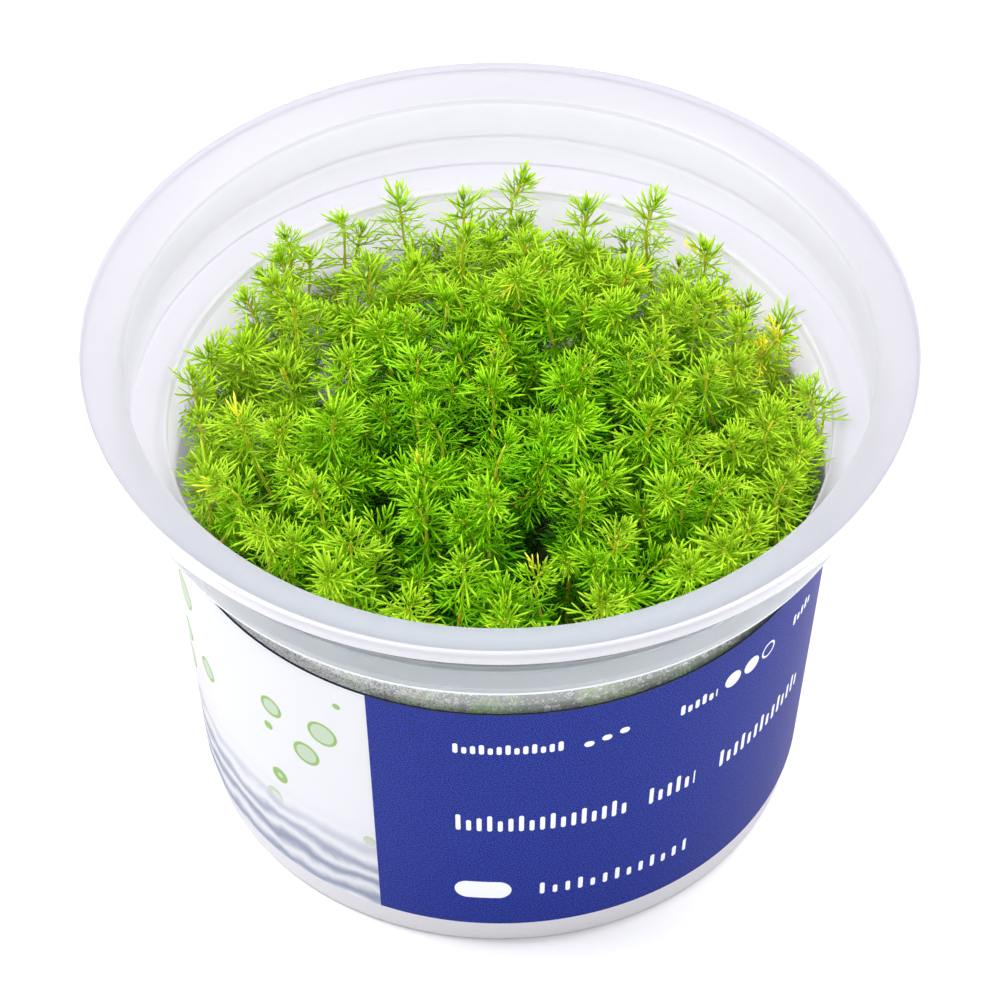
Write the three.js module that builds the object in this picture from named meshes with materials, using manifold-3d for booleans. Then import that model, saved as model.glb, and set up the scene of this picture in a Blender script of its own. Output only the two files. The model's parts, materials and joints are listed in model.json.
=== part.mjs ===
// Tissue culture stem plants in an open cup: the thin-walled cup, the printed sleeve
// round it, the gel in its base, and the feathery shoots that stand in the gel.
// Millimetres, +Z up. The origin is the middle of the underside, and -Y is the front.

import * as THREE from 'three';
import { mergeVertices } from 'three/addons/utils/BufferGeometryUtils.js';
import Module from 'manifold-3d';

// Clearance between pieces that touch in the real object.
const GAP = 0.3;

// Points nearer than this are one corner of a solid.
const MERGE_DISTANCE = 1e-4;

// Cup: a moulded body with a shoulder, an upright collar and a sloping rim flange.
const WALL = 0.8;
const BASE_LIFT = 0.8;
const FOOT_INNER_RADIUS = 33.0;
const FOOT_OUTER_RADIUS = 35.1;
const FOOT_FILLET = 0.9;
const FOOT_FILLET_START = -60;
const FLOOR_FILLET = 1.8;
const BODY_BOTTOM_RADIUS = 35.9;
const BODY_TAPER = 0.083;
const SHOULDER_HEIGHT = 53.3;
const SHOULDER_FILLET = 1.4;
const COLLAR_BOTTOM_RADIUS = 44.6;
const COLLAR_TOP_RADIUS = 45.2;
const COLLAR_HEIGHT = 4.5;
const COLLAR_BEAD = 0.4;
const RIM_RADIUS = 50.0;
const RIM_HEIGHT = 66.2;
const LIP_DEPTH = 1.9;
const CREASE_RADIUS = 44.3;
const CREASE_HEIGHT = 64.4;
const CUP_SIDES = 56;
const FILLET_STEPS = 2;

// Sleeve: a printed card band that follows the body's taper.
const SLEEVE_THICKNESS = 0.25;
const SLEEVE_BOTTOM = 4.4;
const SLEEVE_TOP = 45.3;

// Culture gel: a low round cake with a hole for every stem.
const GEL_TOP = 10.0;
const GEL_EDGE_CHAMFER = 2.2;
const PLANTED_DEPTH = 3.0;
const HOLE_SIDES = 5;

// Shoots: a bare foot, then a leafy column that narrows to the growing tip. The shares
// are of the leaf radius, at the first leaves, half way up, the crown and the point.
const STEM_RADIUS = 0.6;
const BARE_FOOT = 3.0;
const FIRST_LEAVES = 4.0;
const LEAF_RADIUS = 5.2;
const TIP_RADIUS = 1.2;
const CROWN_LENGTH = 9.0;
const POINT_LENGTH = 3.2;
const LEAFY_SHARE = { first: 0.7, middle: 0.95, crown: 1.0, point: 0.8 };
const SHOOT_SIDES = 6;
const ROOT_SPREAD = 0.86;
const BOW = 1.3;
const BOW_SWING = 2.2;
const HIGHEST_TIP = 61.4;

// The outer row, as [azimuth in degrees, tip radius, tip height], round from the right.
const OUTER_ROW = [
  [6, 36.2, 56.5], [21, 36.0, 56.6], [34, 36.3, 55.6], [46, 36.2, 58.6], [59, 36.6, 61.0],
  [73, 35.6, 58.0], [85, 36.6, 60.2], [97, 36.0, 57.8], [110, 36.6, 58.8], [122, 36.0, 59.2],
  [135, 36.8, 60.8], [149, 36.2, 57.2], [164, 36.4, 55.8], [181, 36.0, 56.6], [199, 36.2, 58.0],
  [218, 36.4, 59.5], [236, 36.0, 59.0], [254, 36.4, 60.5], [271, 36.2, 59.5], [289, 36.4, 60.5],
  [307, 36.2, 59.5], [324, 36.4, 59.5], [340, 36.0, 58.0], [353, 36.2, 56.5],
];

// The rows inside it, from the outer one to the middle shoot.
const INNER_ROWS = [
  { count: 16, radius: 27.8, height: 59.4 },
  { count: 10, radius: 19.0, height: 60.0 },
  { count: 6, radius: 10.4, height: 60.4 },
  { count: 1, radius: 0.8, height: 60.4 },
];
const PLACE_SCATTER = 0.16;
const ROW_SCATTER = 1.3;
const HEIGHT_SCATTER = 1.5;

// How fast each kind of variation runs from one shoot to the next.
const PACE = { azimuth: 2.3, radius: 5.1, height: 3.7, bow: 1.9 };

const wasm = await Module();
wasm.setup();

/** A quarter-round or shorter arc as profile points, from one angle to another in degrees. */
function arc(centreRadius, centreHeight, radius, fromDegrees, toDegrees) {
  const points = [];
  for (let step = 0; step <= FILLET_STEPS; step += 1) {
    const angle = THREE.MathUtils.degToRad(
      THREE.MathUtils.lerp(fromDegrees, toDegrees, step / FILLET_STEPS),
    );
    points.push([
      centreRadius + radius * Math.cos(angle),
      centreHeight + radius * Math.sin(angle),
    ]);
  }
  return points;
}

/** Turns a profile of [radius, height] points about the Z axis. */
function lathe(profile, sides) {
  const points = profile.map(([radius, height]) => new THREE.Vector2(radius, height));
  return new THREE.LatheGeometry(points, sides).rotateX(Math.PI / 2);
}

/** Outer radius of the cup's tapered body at a height. */
function bodyRadius(height) {
  return BODY_BOTTOM_RADIUS + BODY_TAPER * height;
}

/** Inner radius of the cup's body at a height, which shoots keep to above the shoulder too. */
function roomRadius(height) {
  return bodyRadius(Math.min(height, SHOULDER_HEIGHT)) - WALL;
}

function cupGeometry() {
  const shoulderRadius = bodyRadius(SHOULDER_HEIGHT);
  const collarTop = SHOULDER_HEIGHT + COLLAR_HEIGHT;
  const neckRadius = COLLAR_TOP_RADIUS - COLLAR_BEAD;
  const lipBottom = RIM_HEIGHT - LIP_DEPTH;
  const footCentre = BODY_BOTTOM_RADIUS - FOOT_FILLET;
  const floorHeight = BASE_LIFT + WALL;
  const outside = [
    [0, BASE_LIFT],
    [FOOT_INNER_RADIUS - BASE_LIFT, BASE_LIFT],
    [FOOT_INNER_RADIUS, 0],
    [FOOT_OUTER_RADIUS, 0],
    ...arc(footCentre, FOOT_FILLET, FOOT_FILLET, FOOT_FILLET_START, 0),
    ...arc(shoulderRadius + SHOULDER_FILLET, SHOULDER_HEIGHT - SHOULDER_FILLET, SHOULDER_FILLET, 180, 90),
    [COLLAR_BOTTOM_RADIUS - COLLAR_BEAD, SHOULDER_HEIGHT],
    [COLLAR_BOTTOM_RADIUS, SHOULDER_HEIGHT + COLLAR_BEAD],
    [COLLAR_TOP_RADIUS, collarTop],
    [neckRadius, collarTop + COLLAR_BEAD],
    [neckRadius, CREASE_HEIGHT - WALL],
    [RIM_RADIUS - WALL, RIM_HEIGHT - WALL - COLLAR_BEAD],
    [RIM_RADIUS - WALL, lipBottom],
    [RIM_RADIUS, lipBottom],
    [RIM_RADIUS, RIM_HEIGHT - COLLAR_BEAD],
  ];
  const inside = [
    [RIM_RADIUS - COLLAR_BEAD, RIM_HEIGHT],
    [CREASE_RADIUS, CREASE_HEIGHT],
    [COLLAR_BOTTOM_RADIUS - WALL, SHOULDER_HEIGHT + WALL + COLLAR_BEAD],
    [COLLAR_BOTTOM_RADIUS - WALL - COLLAR_BEAD, SHOULDER_HEIGHT + WALL],
    ...arc(shoulderRadius - WALL + SHOULDER_FILLET, SHOULDER_HEIGHT + WALL - SHOULDER_FILLET,
      SHOULDER_FILLET, 90, 180),
    ...arc(bodyRadius(floorHeight) - WALL - FLOOR_FILLET, floorHeight + FLOOR_FILLET, FLOOR_FILLET, 0, -90),
    [0, floorHeight],
  ];
  return lathe([...outside, ...inside], CUP_SIDES);
}

function sleeveGeometry() {
  const inner = (height) => bodyRadius(height) + GAP;
  const outer = (height) => inner(height) + SLEEVE_THICKNESS;
  return lathe([
    [inner(SLEEVE_BOTTOM), SLEEVE_BOTTOM],
    [outer(SLEEVE_BOTTOM), SLEEVE_BOTTOM],
    [outer(SLEEVE_TOP), SLEEVE_TOP],
    [inner(SLEEVE_TOP), SLEEVE_TOP],
    [inner(SLEEVE_BOTTOM), SLEEVE_BOTTOM],
  ], CUP_SIDES);
}

/** A closed three.js geometry as a solid that can be joined and cut. */
function toSolid(geometry) {
  const bare = geometry.clone();
  bare.deleteAttribute('normal');
  bare.deleteAttribute('uv');
  const merged = mergeVertices(bare, MERGE_DISTANCE);
  return new wasm.Manifold(new wasm.Mesh({
    numProp: 3,
    vertProperties: new Float32Array(merged.attributes.position.array),
    triVerts: new Uint32Array(merged.index.array),
  }));
}

function toGeometry(solid) {
  const mesh = solid.getMesh();
  const geometry = new THREE.BufferGeometry();
  geometry.setAttribute('position', new THREE.BufferAttribute(mesh.vertProperties, 3));
  geometry.setIndex(new THREE.BufferAttribute(mesh.triVerts, 1));
  geometry.computeVertexNormals();
  return geometry;
}

/** Small steady variation, from -1 to 1, so that no two shoots are alike. */
function vary(index, pace) {
  return Math.sin(index * pace + pace);
}

/** Every shoot's tip, root and sideways bow, the outer row first. */
function plantShoots() {
  const tips = OUTER_ROW.map(([azimuth, radius, height]) => ({ azimuth, radius, height }));
  for (const row of INNER_ROWS) {
    for (let place = 0; place < row.count; place += 1) {
      const index = tips.length;
      tips.push({
        azimuth: (360 / row.count) * (place + 0.5 + PLACE_SCATTER * vary(index, PACE.azimuth)),
        radius: row.radius + ROW_SCATTER * vary(index, PACE.radius),
        height: row.height + HEIGHT_SCATTER * vary(index, PACE.height),
      });
    }
  }
  return tips.map((tip, index) => {
    const angle = THREE.MathUtils.degToRad(tip.azimuth);
    const reach = new THREE.Vector2(Math.cos(angle), Math.sin(angle)).multiplyScalar(tip.radius);
    return {
      tip: reach,
      root: reach.clone().multiplyScalar(ROOT_SPREAD),
      bowAngle: angle + BOW_SWING * vary(index, PACE.bow),
      height: Math.min(tip.height, HIGHEST_TIP),
    };
  });
}

/** Where a shoot's middle line stands at a height. */
function axisAt(shoot, height) {
  const climb = THREE.MathUtils.clamp((height - GEL_TOP) / (shoot.height - GEL_TOP), 0, 1);
  const bow = BOW * Math.sin(Math.PI * climb);
  return new THREE.Vector2(
    THREE.MathUtils.lerp(shoot.root.x, shoot.tip.x, climb) + bow * Math.cos(shoot.bowAngle),
    THREE.MathUtils.lerp(shoot.root.y, shoot.tip.y, climb) + bow * Math.sin(shoot.bowAngle),
  );
}

/** The largest radius that keeps a shoot clear of its neighbours and of the cup's wall. */
function clearRadius(shoots, shoot, height) {
  const centre = axisAt(shoot, height);
  let radius = roomRadius(height) - GAP - centre.length();
  for (const other of shoots) {
    if (other !== shoot && other.height > height - CROWN_LENGTH) {
      const half = centre.distanceTo(axisAt(other, height)) / 2;
      radius = Math.min(radius, half - GAP);
    }
  }
  return radius;
}

/** The leafy outline of a shoot, from its planted end to its tip, seen from its root. */
function shootGeometry(shoots, shoot) {
  const plantedAt = GEL_TOP - PLANTED_DEPTH;
  const leafy = [
    { height: GEL_TOP + BARE_FOOT + FIRST_LEAVES, share: LEAFY_SHARE.first },
    { height: (GEL_TOP + shoot.height) / 2, share: LEAFY_SHARE.middle },
    { height: shoot.height - CROWN_LENGTH, share: LEAFY_SHARE.crown },
    { height: shoot.height - POINT_LENGTH, share: LEAFY_SHARE.point },
  ];
  const profile = [
    [0, plantedAt],
    [STEM_RADIUS, plantedAt],
    [STEM_RADIUS, GEL_TOP + BARE_FOOT],
    ...leafy.map(({ height, share }) => [
      Math.min(LEAF_RADIUS * share, clearRadius(shoots, shoot, height)),
      height,
    ]),
    [Math.min(TIP_RADIUS, clearRadius(shoots, shoot, shoot.height)), shoot.height],
    [0, shoot.height],
  ];
  const geometry = lathe(profile, SHOOT_SIDES);
  const position = geometry.attributes.position;
  for (let vertex = 0; vertex < position.count; vertex += 1) {
    const centre = axisAt(shoot, position.getZ(vertex)).sub(shoot.root);
    position.setX(vertex, position.getX(vertex) + centre.x);
    position.setY(vertex, position.getY(vertex) + centre.y);
  }
  return geometry;
}

function gelGeometry(shoots) {
  const floor = BASE_LIFT + WALL + GAP;
  const edge = (height) => bodyRadius(height) - WALL - GAP;
  const cake = lathe([
    [0, floor],
    [edge(floor) - GEL_EDGE_CHAMFER, floor],
    [edge(floor), floor + GEL_EDGE_CHAMFER],
    [edge(GEL_TOP), GEL_TOP],
    [0, GEL_TOP],
  ], CUP_SIDES);
  const depth = PLANTED_DEPTH + GAP;
  const hole = new THREE.CylinderGeometry(
    STEM_RADIUS + 2 * GAP, STEM_RADIUS + 2 * GAP, 2 * depth, HOLE_SIDES,
  ).rotateX(Math.PI / 2);
  let solid = toSolid(cake);
  for (const shoot of shoots) {
    const drill = hole.clone().translate(shoot.root.x, shoot.root.y, GEL_TOP);
    solid = solid.subtract(toSolid(drill));
  }
  return toGeometry(solid);
}

const finishes = {
  cup: { color: '#eceef5', roughness: 0.32, metalness: 0, transparent: true, opacity: 0.5 },
  sleeve: { color: '#27348f', roughness: 0.55, metalness: 0 },
  gel: { color: '#e4e6de', roughness: 0.3, metalness: 0, transparent: true, opacity: 0.8 },
  leaf: { color: '#6fb51d', roughness: 0.6, metalness: 0 },
};

function piece(name, geometry, finish) {
  const mesh = new THREE.Mesh(geometry, new THREE.MeshStandardMaterial(finish));
  mesh.name = name;
  return mesh;
}

function buildPot(shoots) {
  const pot = new THREE.Group();
  pot.add(piece('cup', cupGeometry(), finishes.cup));
  pot.add(piece('sleeve', sleeveGeometry(), finishes.sleeve));
  pot.add(piece('culture_gel', gelGeometry(shoots), finishes.gel));
  return pot;
}

function buildPlants(shoots) {
  const plants = new THREE.Group();
  shoots.forEach((shoot, index) => {
    const number = String(index + 1).padStart(2, '0');
    const mesh = piece(`shoot_${number}`, shootGeometry(shoots, shoot), finishes.leaf);
    mesh.position.set(shoot.root.x, shoot.root.y, 0);
    plants.add(mesh);
  });
  return plants;
}

const shoots = plantShoots();
const group = new THREE.Group();
group.add(buildPot(shoots));
group.add(buildPlants(shoots));

export default group;
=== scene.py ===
"""Feathery water plants grown in gel, in an open moulded cup with a printed card sleeve.

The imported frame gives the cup, the sleeve, the gel and every shoot's column. This script
models what they stand for: the thin milky cup, the printed card, the clouded gel, the
condensation on the cup's wall, and shoots with whorls of comb-shaped leaves.
Every length is in metres.
"""

import json
import logging
import math
from collections.abc import Callable, Sequence
from dataclasses import dataclass, field
from enum import Enum, IntEnum
from functools import partial

import bmesh
import bpy
import numpy as np
from mathutils import Matrix, Vector

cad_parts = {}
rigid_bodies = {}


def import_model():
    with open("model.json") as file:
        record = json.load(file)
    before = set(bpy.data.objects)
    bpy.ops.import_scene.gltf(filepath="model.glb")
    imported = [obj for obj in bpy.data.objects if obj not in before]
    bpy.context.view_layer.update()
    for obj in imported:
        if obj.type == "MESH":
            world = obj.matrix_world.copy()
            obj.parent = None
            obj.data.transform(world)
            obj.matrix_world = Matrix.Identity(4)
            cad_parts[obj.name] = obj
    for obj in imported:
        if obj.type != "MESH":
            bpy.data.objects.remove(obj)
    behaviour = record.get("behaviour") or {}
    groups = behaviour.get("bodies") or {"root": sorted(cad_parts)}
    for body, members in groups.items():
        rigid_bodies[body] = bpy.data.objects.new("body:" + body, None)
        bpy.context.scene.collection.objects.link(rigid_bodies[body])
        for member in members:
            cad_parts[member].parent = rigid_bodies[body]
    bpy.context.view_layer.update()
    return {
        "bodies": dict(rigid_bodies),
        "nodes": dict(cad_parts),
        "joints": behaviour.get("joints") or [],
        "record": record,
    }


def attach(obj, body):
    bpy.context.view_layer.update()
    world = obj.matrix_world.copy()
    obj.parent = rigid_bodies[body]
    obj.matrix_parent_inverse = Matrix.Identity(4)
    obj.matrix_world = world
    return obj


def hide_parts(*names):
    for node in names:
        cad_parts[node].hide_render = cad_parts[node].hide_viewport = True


LOG = logging.getLogger("culture_cup")
MM = 0.001
WELD = 0.001 * MM
BODY = "root"
NodeInput = float | tuple | Vector | bpy.types.Node | bpy.types.NodeSocket
NodeAdder = Callable[..., bpy.types.Node]


class Slot(Enum):
    """The record's material slots."""

    CUP = "cup_plastic"
    SLEEVE = "sleeve_card"
    GEL = "culture_gel"
    LEAF = "leaf_green"


def linear(hex_colour: str) -> tuple[float, float, float, float]:
    """Turns an sRGB hex colour into linear red, green, blue and alpha.

    Args:
        hex_colour: Six hex digits with a leading hash sign.

    Returns:
        The linear colour, with an alpha of 1.
    """
    digits = hex_colour.lstrip("#")
    channels = (int(digits[i : i + 2], 16) / 255 for i in (0, 2, 4))
    red, green, blue = (
        c / 12.92 if c <= 0.04045 else ((c + 0.055) / 1.055) ** 2.4 for c in channels
    )
    return red, green, blue, 1.0


def add_node(
    tree: bpy.types.NodeTree,
    kind: str,
    *values: NodeInput,
    named: dict[str, NodeInput] | None = None,
    **settings: object,
) -> bpy.types.Node:
    """Adds a shader node, sets its properties, and fills or links its inputs.

    Args:
        tree: The node tree that gets the node.
        kind: The node's Blender type name, without its leading ShaderNode.
        values: A value for each input in use, in turn: a constant, an output socket, or a
            node, which stands for its first output in use.
        named: More values, by the input's name.
        settings: Values for the node's own properties.

    Returns:
        The new node.
    """
    node = tree.nodes.new("ShaderNode" + kind)
    for name, value in settings.items():
        setattr(node, name, value)
    filled = list(zip((socket for socket in node.inputs if socket.enabled), values))
    filled += [(node.inputs[name], value) for name, value in (named or {}).items()]
    for socket, value in filled:
        if isinstance(value, bpy.types.Node):
            value = next(output for output in value.outputs if output.enabled)
        if isinstance(value, bpy.types.NodeSocket):
            tree.links.new(value, socket)
        else:
            socket.default_value = value
    return node


def blank_material(name: str) -> tuple[bpy.types.Material, NodeAdder]:
    """Makes a material whose node tree is empty.

    Args:
        name: The material's name.

    Returns:
        The material, and add_node for its node tree.
    """
    material = bpy.data.materials.new(name)
    material.use_nodes = True
    material.node_tree.nodes.clear()
    return material, partial(add_node, material.node_tree)


def set_stops(ramp: bpy.types.Node, stops: Sequence[tuple[float, Sequence[float]]]) -> None:
    """Sets the stops of a colour ramp.

    Args:
        ramp: The ramp's node.
        stops: Each stop's position and its colour with alpha, in order.
    """
    elements = ramp.color_ramp.elements
    while len(elements) < len(stops):
        elements.new(1.0)
    for element, (position, colour) in zip(elements, stops, strict=True):
        element.position = position
        element.color = colour


def link_object(name: str, data: bpy.types.ID) -> bpy.types.Object:
    """Puts a new object into the scene, at the origin.

    Args:
        name: The object's name.
        data: Its mesh, camera or light.

    Returns:
        The new object.
    """
    made = bpy.data.objects.new(name, data)
    bpy.context.scene.collection.objects.link(made)
    return made


def show_mesh(
    mesh: bpy.types.Mesh, materials: Sequence[bpy.types.Material]
) -> bpy.types.Object:
    """Dresses a mesh, shades it smooth and shows it under its own name.

    Args:
        mesh: The finished mesh.
        materials: The mesh's materials, by index.

    Returns:
        The new object.
    """
    for material in materials:
        mesh.materials.append(material)
    mesh.shade_smooth()
    return link_object(mesh.name, mesh)


def show_piece(
    bm: bmesh.types.BMesh, name: str, *materials: bpy.types.Material
) -> bpy.types.Object:
    """Turns a bmesh into an object in the scene, and frees the bmesh.

    Args:
        bm: The finished bmesh.
        name: The piece's name.
        materials: The piece's materials, by index.

    Returns:
        The new object.
    """
    mesh = bpy.data.meshes.new(name)
    bm.to_mesh(mesh)
    bm.free()
    return show_mesh(mesh, materials)


def hand_over(piece: bpy.types.Object, slot: Slot, *nodes: str) -> None:
    """Puts a piece on its body and hides the frame's nodes that it replaces.

    Args:
        piece: The finished piece.
        slot: Not used.
        nodes: The frame's nodes that the piece replaces.
    """
    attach(piece, BODY)
    if nodes:
        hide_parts(*nodes)
    LOG.info("%s: %d faces", piece.name, len(piece.data.polygons))


def face_point(
    thing: bpy.types.Object, target: Vector, back: Vector, distance: float
) -> None:
    """Places a camera or a lamp so that it faces a point.

    Args:
        thing: The camera or the lamp.
        target: The point that it faces.
        back: The direction from the point to it, one unit long.
        distance: How far it is from the point.
    """
    thing.location = target + back * distance
    thing.rotation_euler = back.to_track_quat("Z", "Y").to_euler()


@dataclass(frozen=True)
class Corner:
    """One corner of a turned outline, with the radius that rounds it."""

    radius: float
    height: float
    fillet: float = 0.0


def round_outline(corners: Sequence[Corner], steps: int = 4) -> list[Vector]:
    """Rounds the corners of an outline.

    Args:
        corners: The outline's corners in order. The first and last stay sharp.
        steps: The number of edges in each rounded corner.

    Returns:
        Points as (radius, height).
    """
    places = [Vector((corner.radius, corner.height)) for corner in corners]
    points = [places[0]]
    for before, here, after, corner in zip(places, places[1:], places[2:], corners[1:]):
        if corner.fillet == 0.0:
            points.append(here)
            continue
        back = (before - here).normalized()
        ahead = (after - here).normalized()
        half = back.angle(ahead) / 2
        centre = here + (back + ahead).normalized() * corner.fillet / math.sin(half)
        reach = corner.fillet / math.tan(half)
        start = (here + back * reach - centre).normalized()
        end = (here + ahead * reach - centre).normalized()
        for step in range(steps + 1):
            points.append(centre + start.slerp(end, step / steps) * corner.fillet)
    points.append(places[-1])
    return points


def turn_outline(points: Sequence[Vector], closed: bool, steps: int) -> bmesh.types.BMesh:
    """Spins an outline round the Z axis into a closed solid.

    Args:
        points: The outline as (radius, height).
        closed: True if the last point joins the first one.
        steps: The number of steps in the full turn.

    Returns:
        The turned bmesh, with its faces outwards.
    """
    bm = bmesh.new()
    verts = [bm.verts.new((point.x, 0.0, point.y)) for point in points]
    pairs = list(zip(verts, verts[1:]))
    if closed:
        pairs.append((verts[-1], verts[0]))
    edges = [bm.edges.new(pair) for pair in pairs]
    bmesh.ops.spin(
        bm, geom=verts + edges, cent=(0, 0, 0), axis=(0, 0, 1),
        angle=math.tau, steps=steps, use_merge=True,
    )
    bmesh.ops.remove_doubles(bm, verts=bm.verts[:], dist=WELD)
    bmesh.ops.recalc_face_normals(bm, faces=bm.faces[:])
    return bm


def draw_out(
    bm: bmesh.types.BMesh,
    ring: list[bmesh.types.BMVert],
    path: Sequence[Vector],
    girths: Sequence[float],
) -> None:
    """Extrudes a ring along a path, with a girth at each point, and closes it to a point.

    Args:
        bm: The bmesh that holds the ring.
        ring: The ring's vertices, round the path's first point.
        path: The points that the ring's middle follows.
        girths: The ring's size at each point, beside its size at the first.
    """
    edges = list({edge for vert in ring for edge in vert.link_edges})
    here, girth = path[0], girths[0]
    for there, wanted in zip(path[1:], girths[1:]):
        grown = bmesh.ops.extrude_edge_only(bm, edges=edges)["geom"]
        ring = [item for item in grown if isinstance(item, bmesh.types.BMVert)]
        edges = [item for item in grown if isinstance(item, bmesh.types.BMEdge)]
        bmesh.ops.translate(bm, verts=ring, vec=there - here)
        scale = Vector((1, 1, 1)) * max(wanted / girth, 0.0)
        bmesh.ops.scale(bm, verts=ring, vec=scale, space=Matrix.Translation(-there))
        here, girth = there, wanted
        if wanted == 0.0:
            bmesh.ops.pointmerge(bm, verts=ring, merge_co=there)
            break


@dataclass(frozen=True)
class View:
    """The camera at the photograph's viewing angle, and the colour handling."""

    lens_mm: float = 219.4
    sensor_mm: float = 36.0
    distance: float = 732.9 * MM
    elevation: float = math.radians(45.72)
    target_height: float = 39.54 * MM
    clip: tuple[float, float] = (0.05, 20.0)

    def build(self) -> None:
        """Makes the camera and sets it as the scene's."""
        data = bpy.data.cameras.new("camera")
        data.lens = self.lens_mm
        data.sensor_width = self.sensor_mm
        data.clip_start, data.clip_end = self.clip
        camera = link_object("camera", data)
        back = Vector((0.0, -math.cos(self.elevation), math.sin(self.elevation)))
        face_point(camera, Vector((0.0, 0.0, self.target_height)), back, self.distance)
        bpy.context.scene.camera = camera
        bpy.context.scene.view_settings.view_transform = "Standard"


@dataclass(frozen=True)
class Lamp:
    """A square soft box that points at the cup, with its place round it in degrees."""

    name: str
    azimuth: float
    elevation: float
    distance: float
    size: float
    power: float

    def build(self, target: Vector) -> None:
        """Makes the lamp.

        Args:
            target: The point that the lamp faces.
        """
        data = bpy.data.lights.new(self.name, "AREA")
        data.size = self.size
        data.energy = self.power
        azimuth, elevation = math.radians(self.azimuth), math.radians(self.elevation)
        back = Vector((
            math.cos(azimuth) * math.cos(elevation),
            math.sin(azimuth) * math.cos(elevation),
            math.sin(elevation),
        ))
        face_point(link_object(self.name, data), target, back, self.distance)


@dataclass(frozen=True)
class Studio:
    """A white studio: an even white surround, soft boxes and a matt pale floor."""

    floor_radius: float = 4.0
    floor_sides: int = 64
    floor_colour: str = "#F0F0F3"
    floor_roughness: float = 0.9
    floor_specular: float = 0.1
    surround: float = 1.07
    lamp_target: float = 50.0 * MM
    lamps: tuple[Lamp, ...] = (
        Lamp("key_soft_box", 175.0, 62.0, 1.2, 0.6, 14.5),
        Lamp("back_soft_box", 25.0, 60.0, 1.3, 0.8, 12.5),
    )

    def build(self) -> None:
        """Makes the surround, the lamps and the floor."""
        world = bpy.data.worlds.new("white_surround")
        world.use_nodes = True
        background = world.node_tree.nodes["Background"]
        background.inputs["Color"].default_value = (1, 1, 1, 1)
        background.inputs["Strength"].default_value = self.surround
        bpy.context.scene.world = world
        for lamp in self.lamps:
            lamp.build(Vector((0.0, 0.0, self.lamp_target)))
        self.build_floor()

    def build_floor(self) -> None:
        """Makes the pale floor that the cup stands on."""
        material, add = blank_material("matt_white_floor")
        shader = add("BsdfPrincipled", named={
            "Base Color": linear(self.floor_colour),
            "Roughness": self.floor_roughness,
            "Specular IOR Level": self.floor_specular,
        })
        add("OutputMaterial", shader)
        bm = bmesh.new()
        bmesh.ops.create_circle(
            bm, cap_ends=True, segments=self.floor_sides, radius=self.floor_radius
        )
        show_piece(bm, "floor", material)


@dataclass(frozen=True)
class PlasticZone:
    """A height from which the cup's plastic has a given finish.

    Milk is the share that glows when lit from behind, and shade dims the colour. The shades
    are painted light and shade: they even out the light inside the cup, and darken some
    bands where shade falls.
    """

    start: float
    clearness: float
    roughness: float
    milk: float
    shade: float


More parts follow.
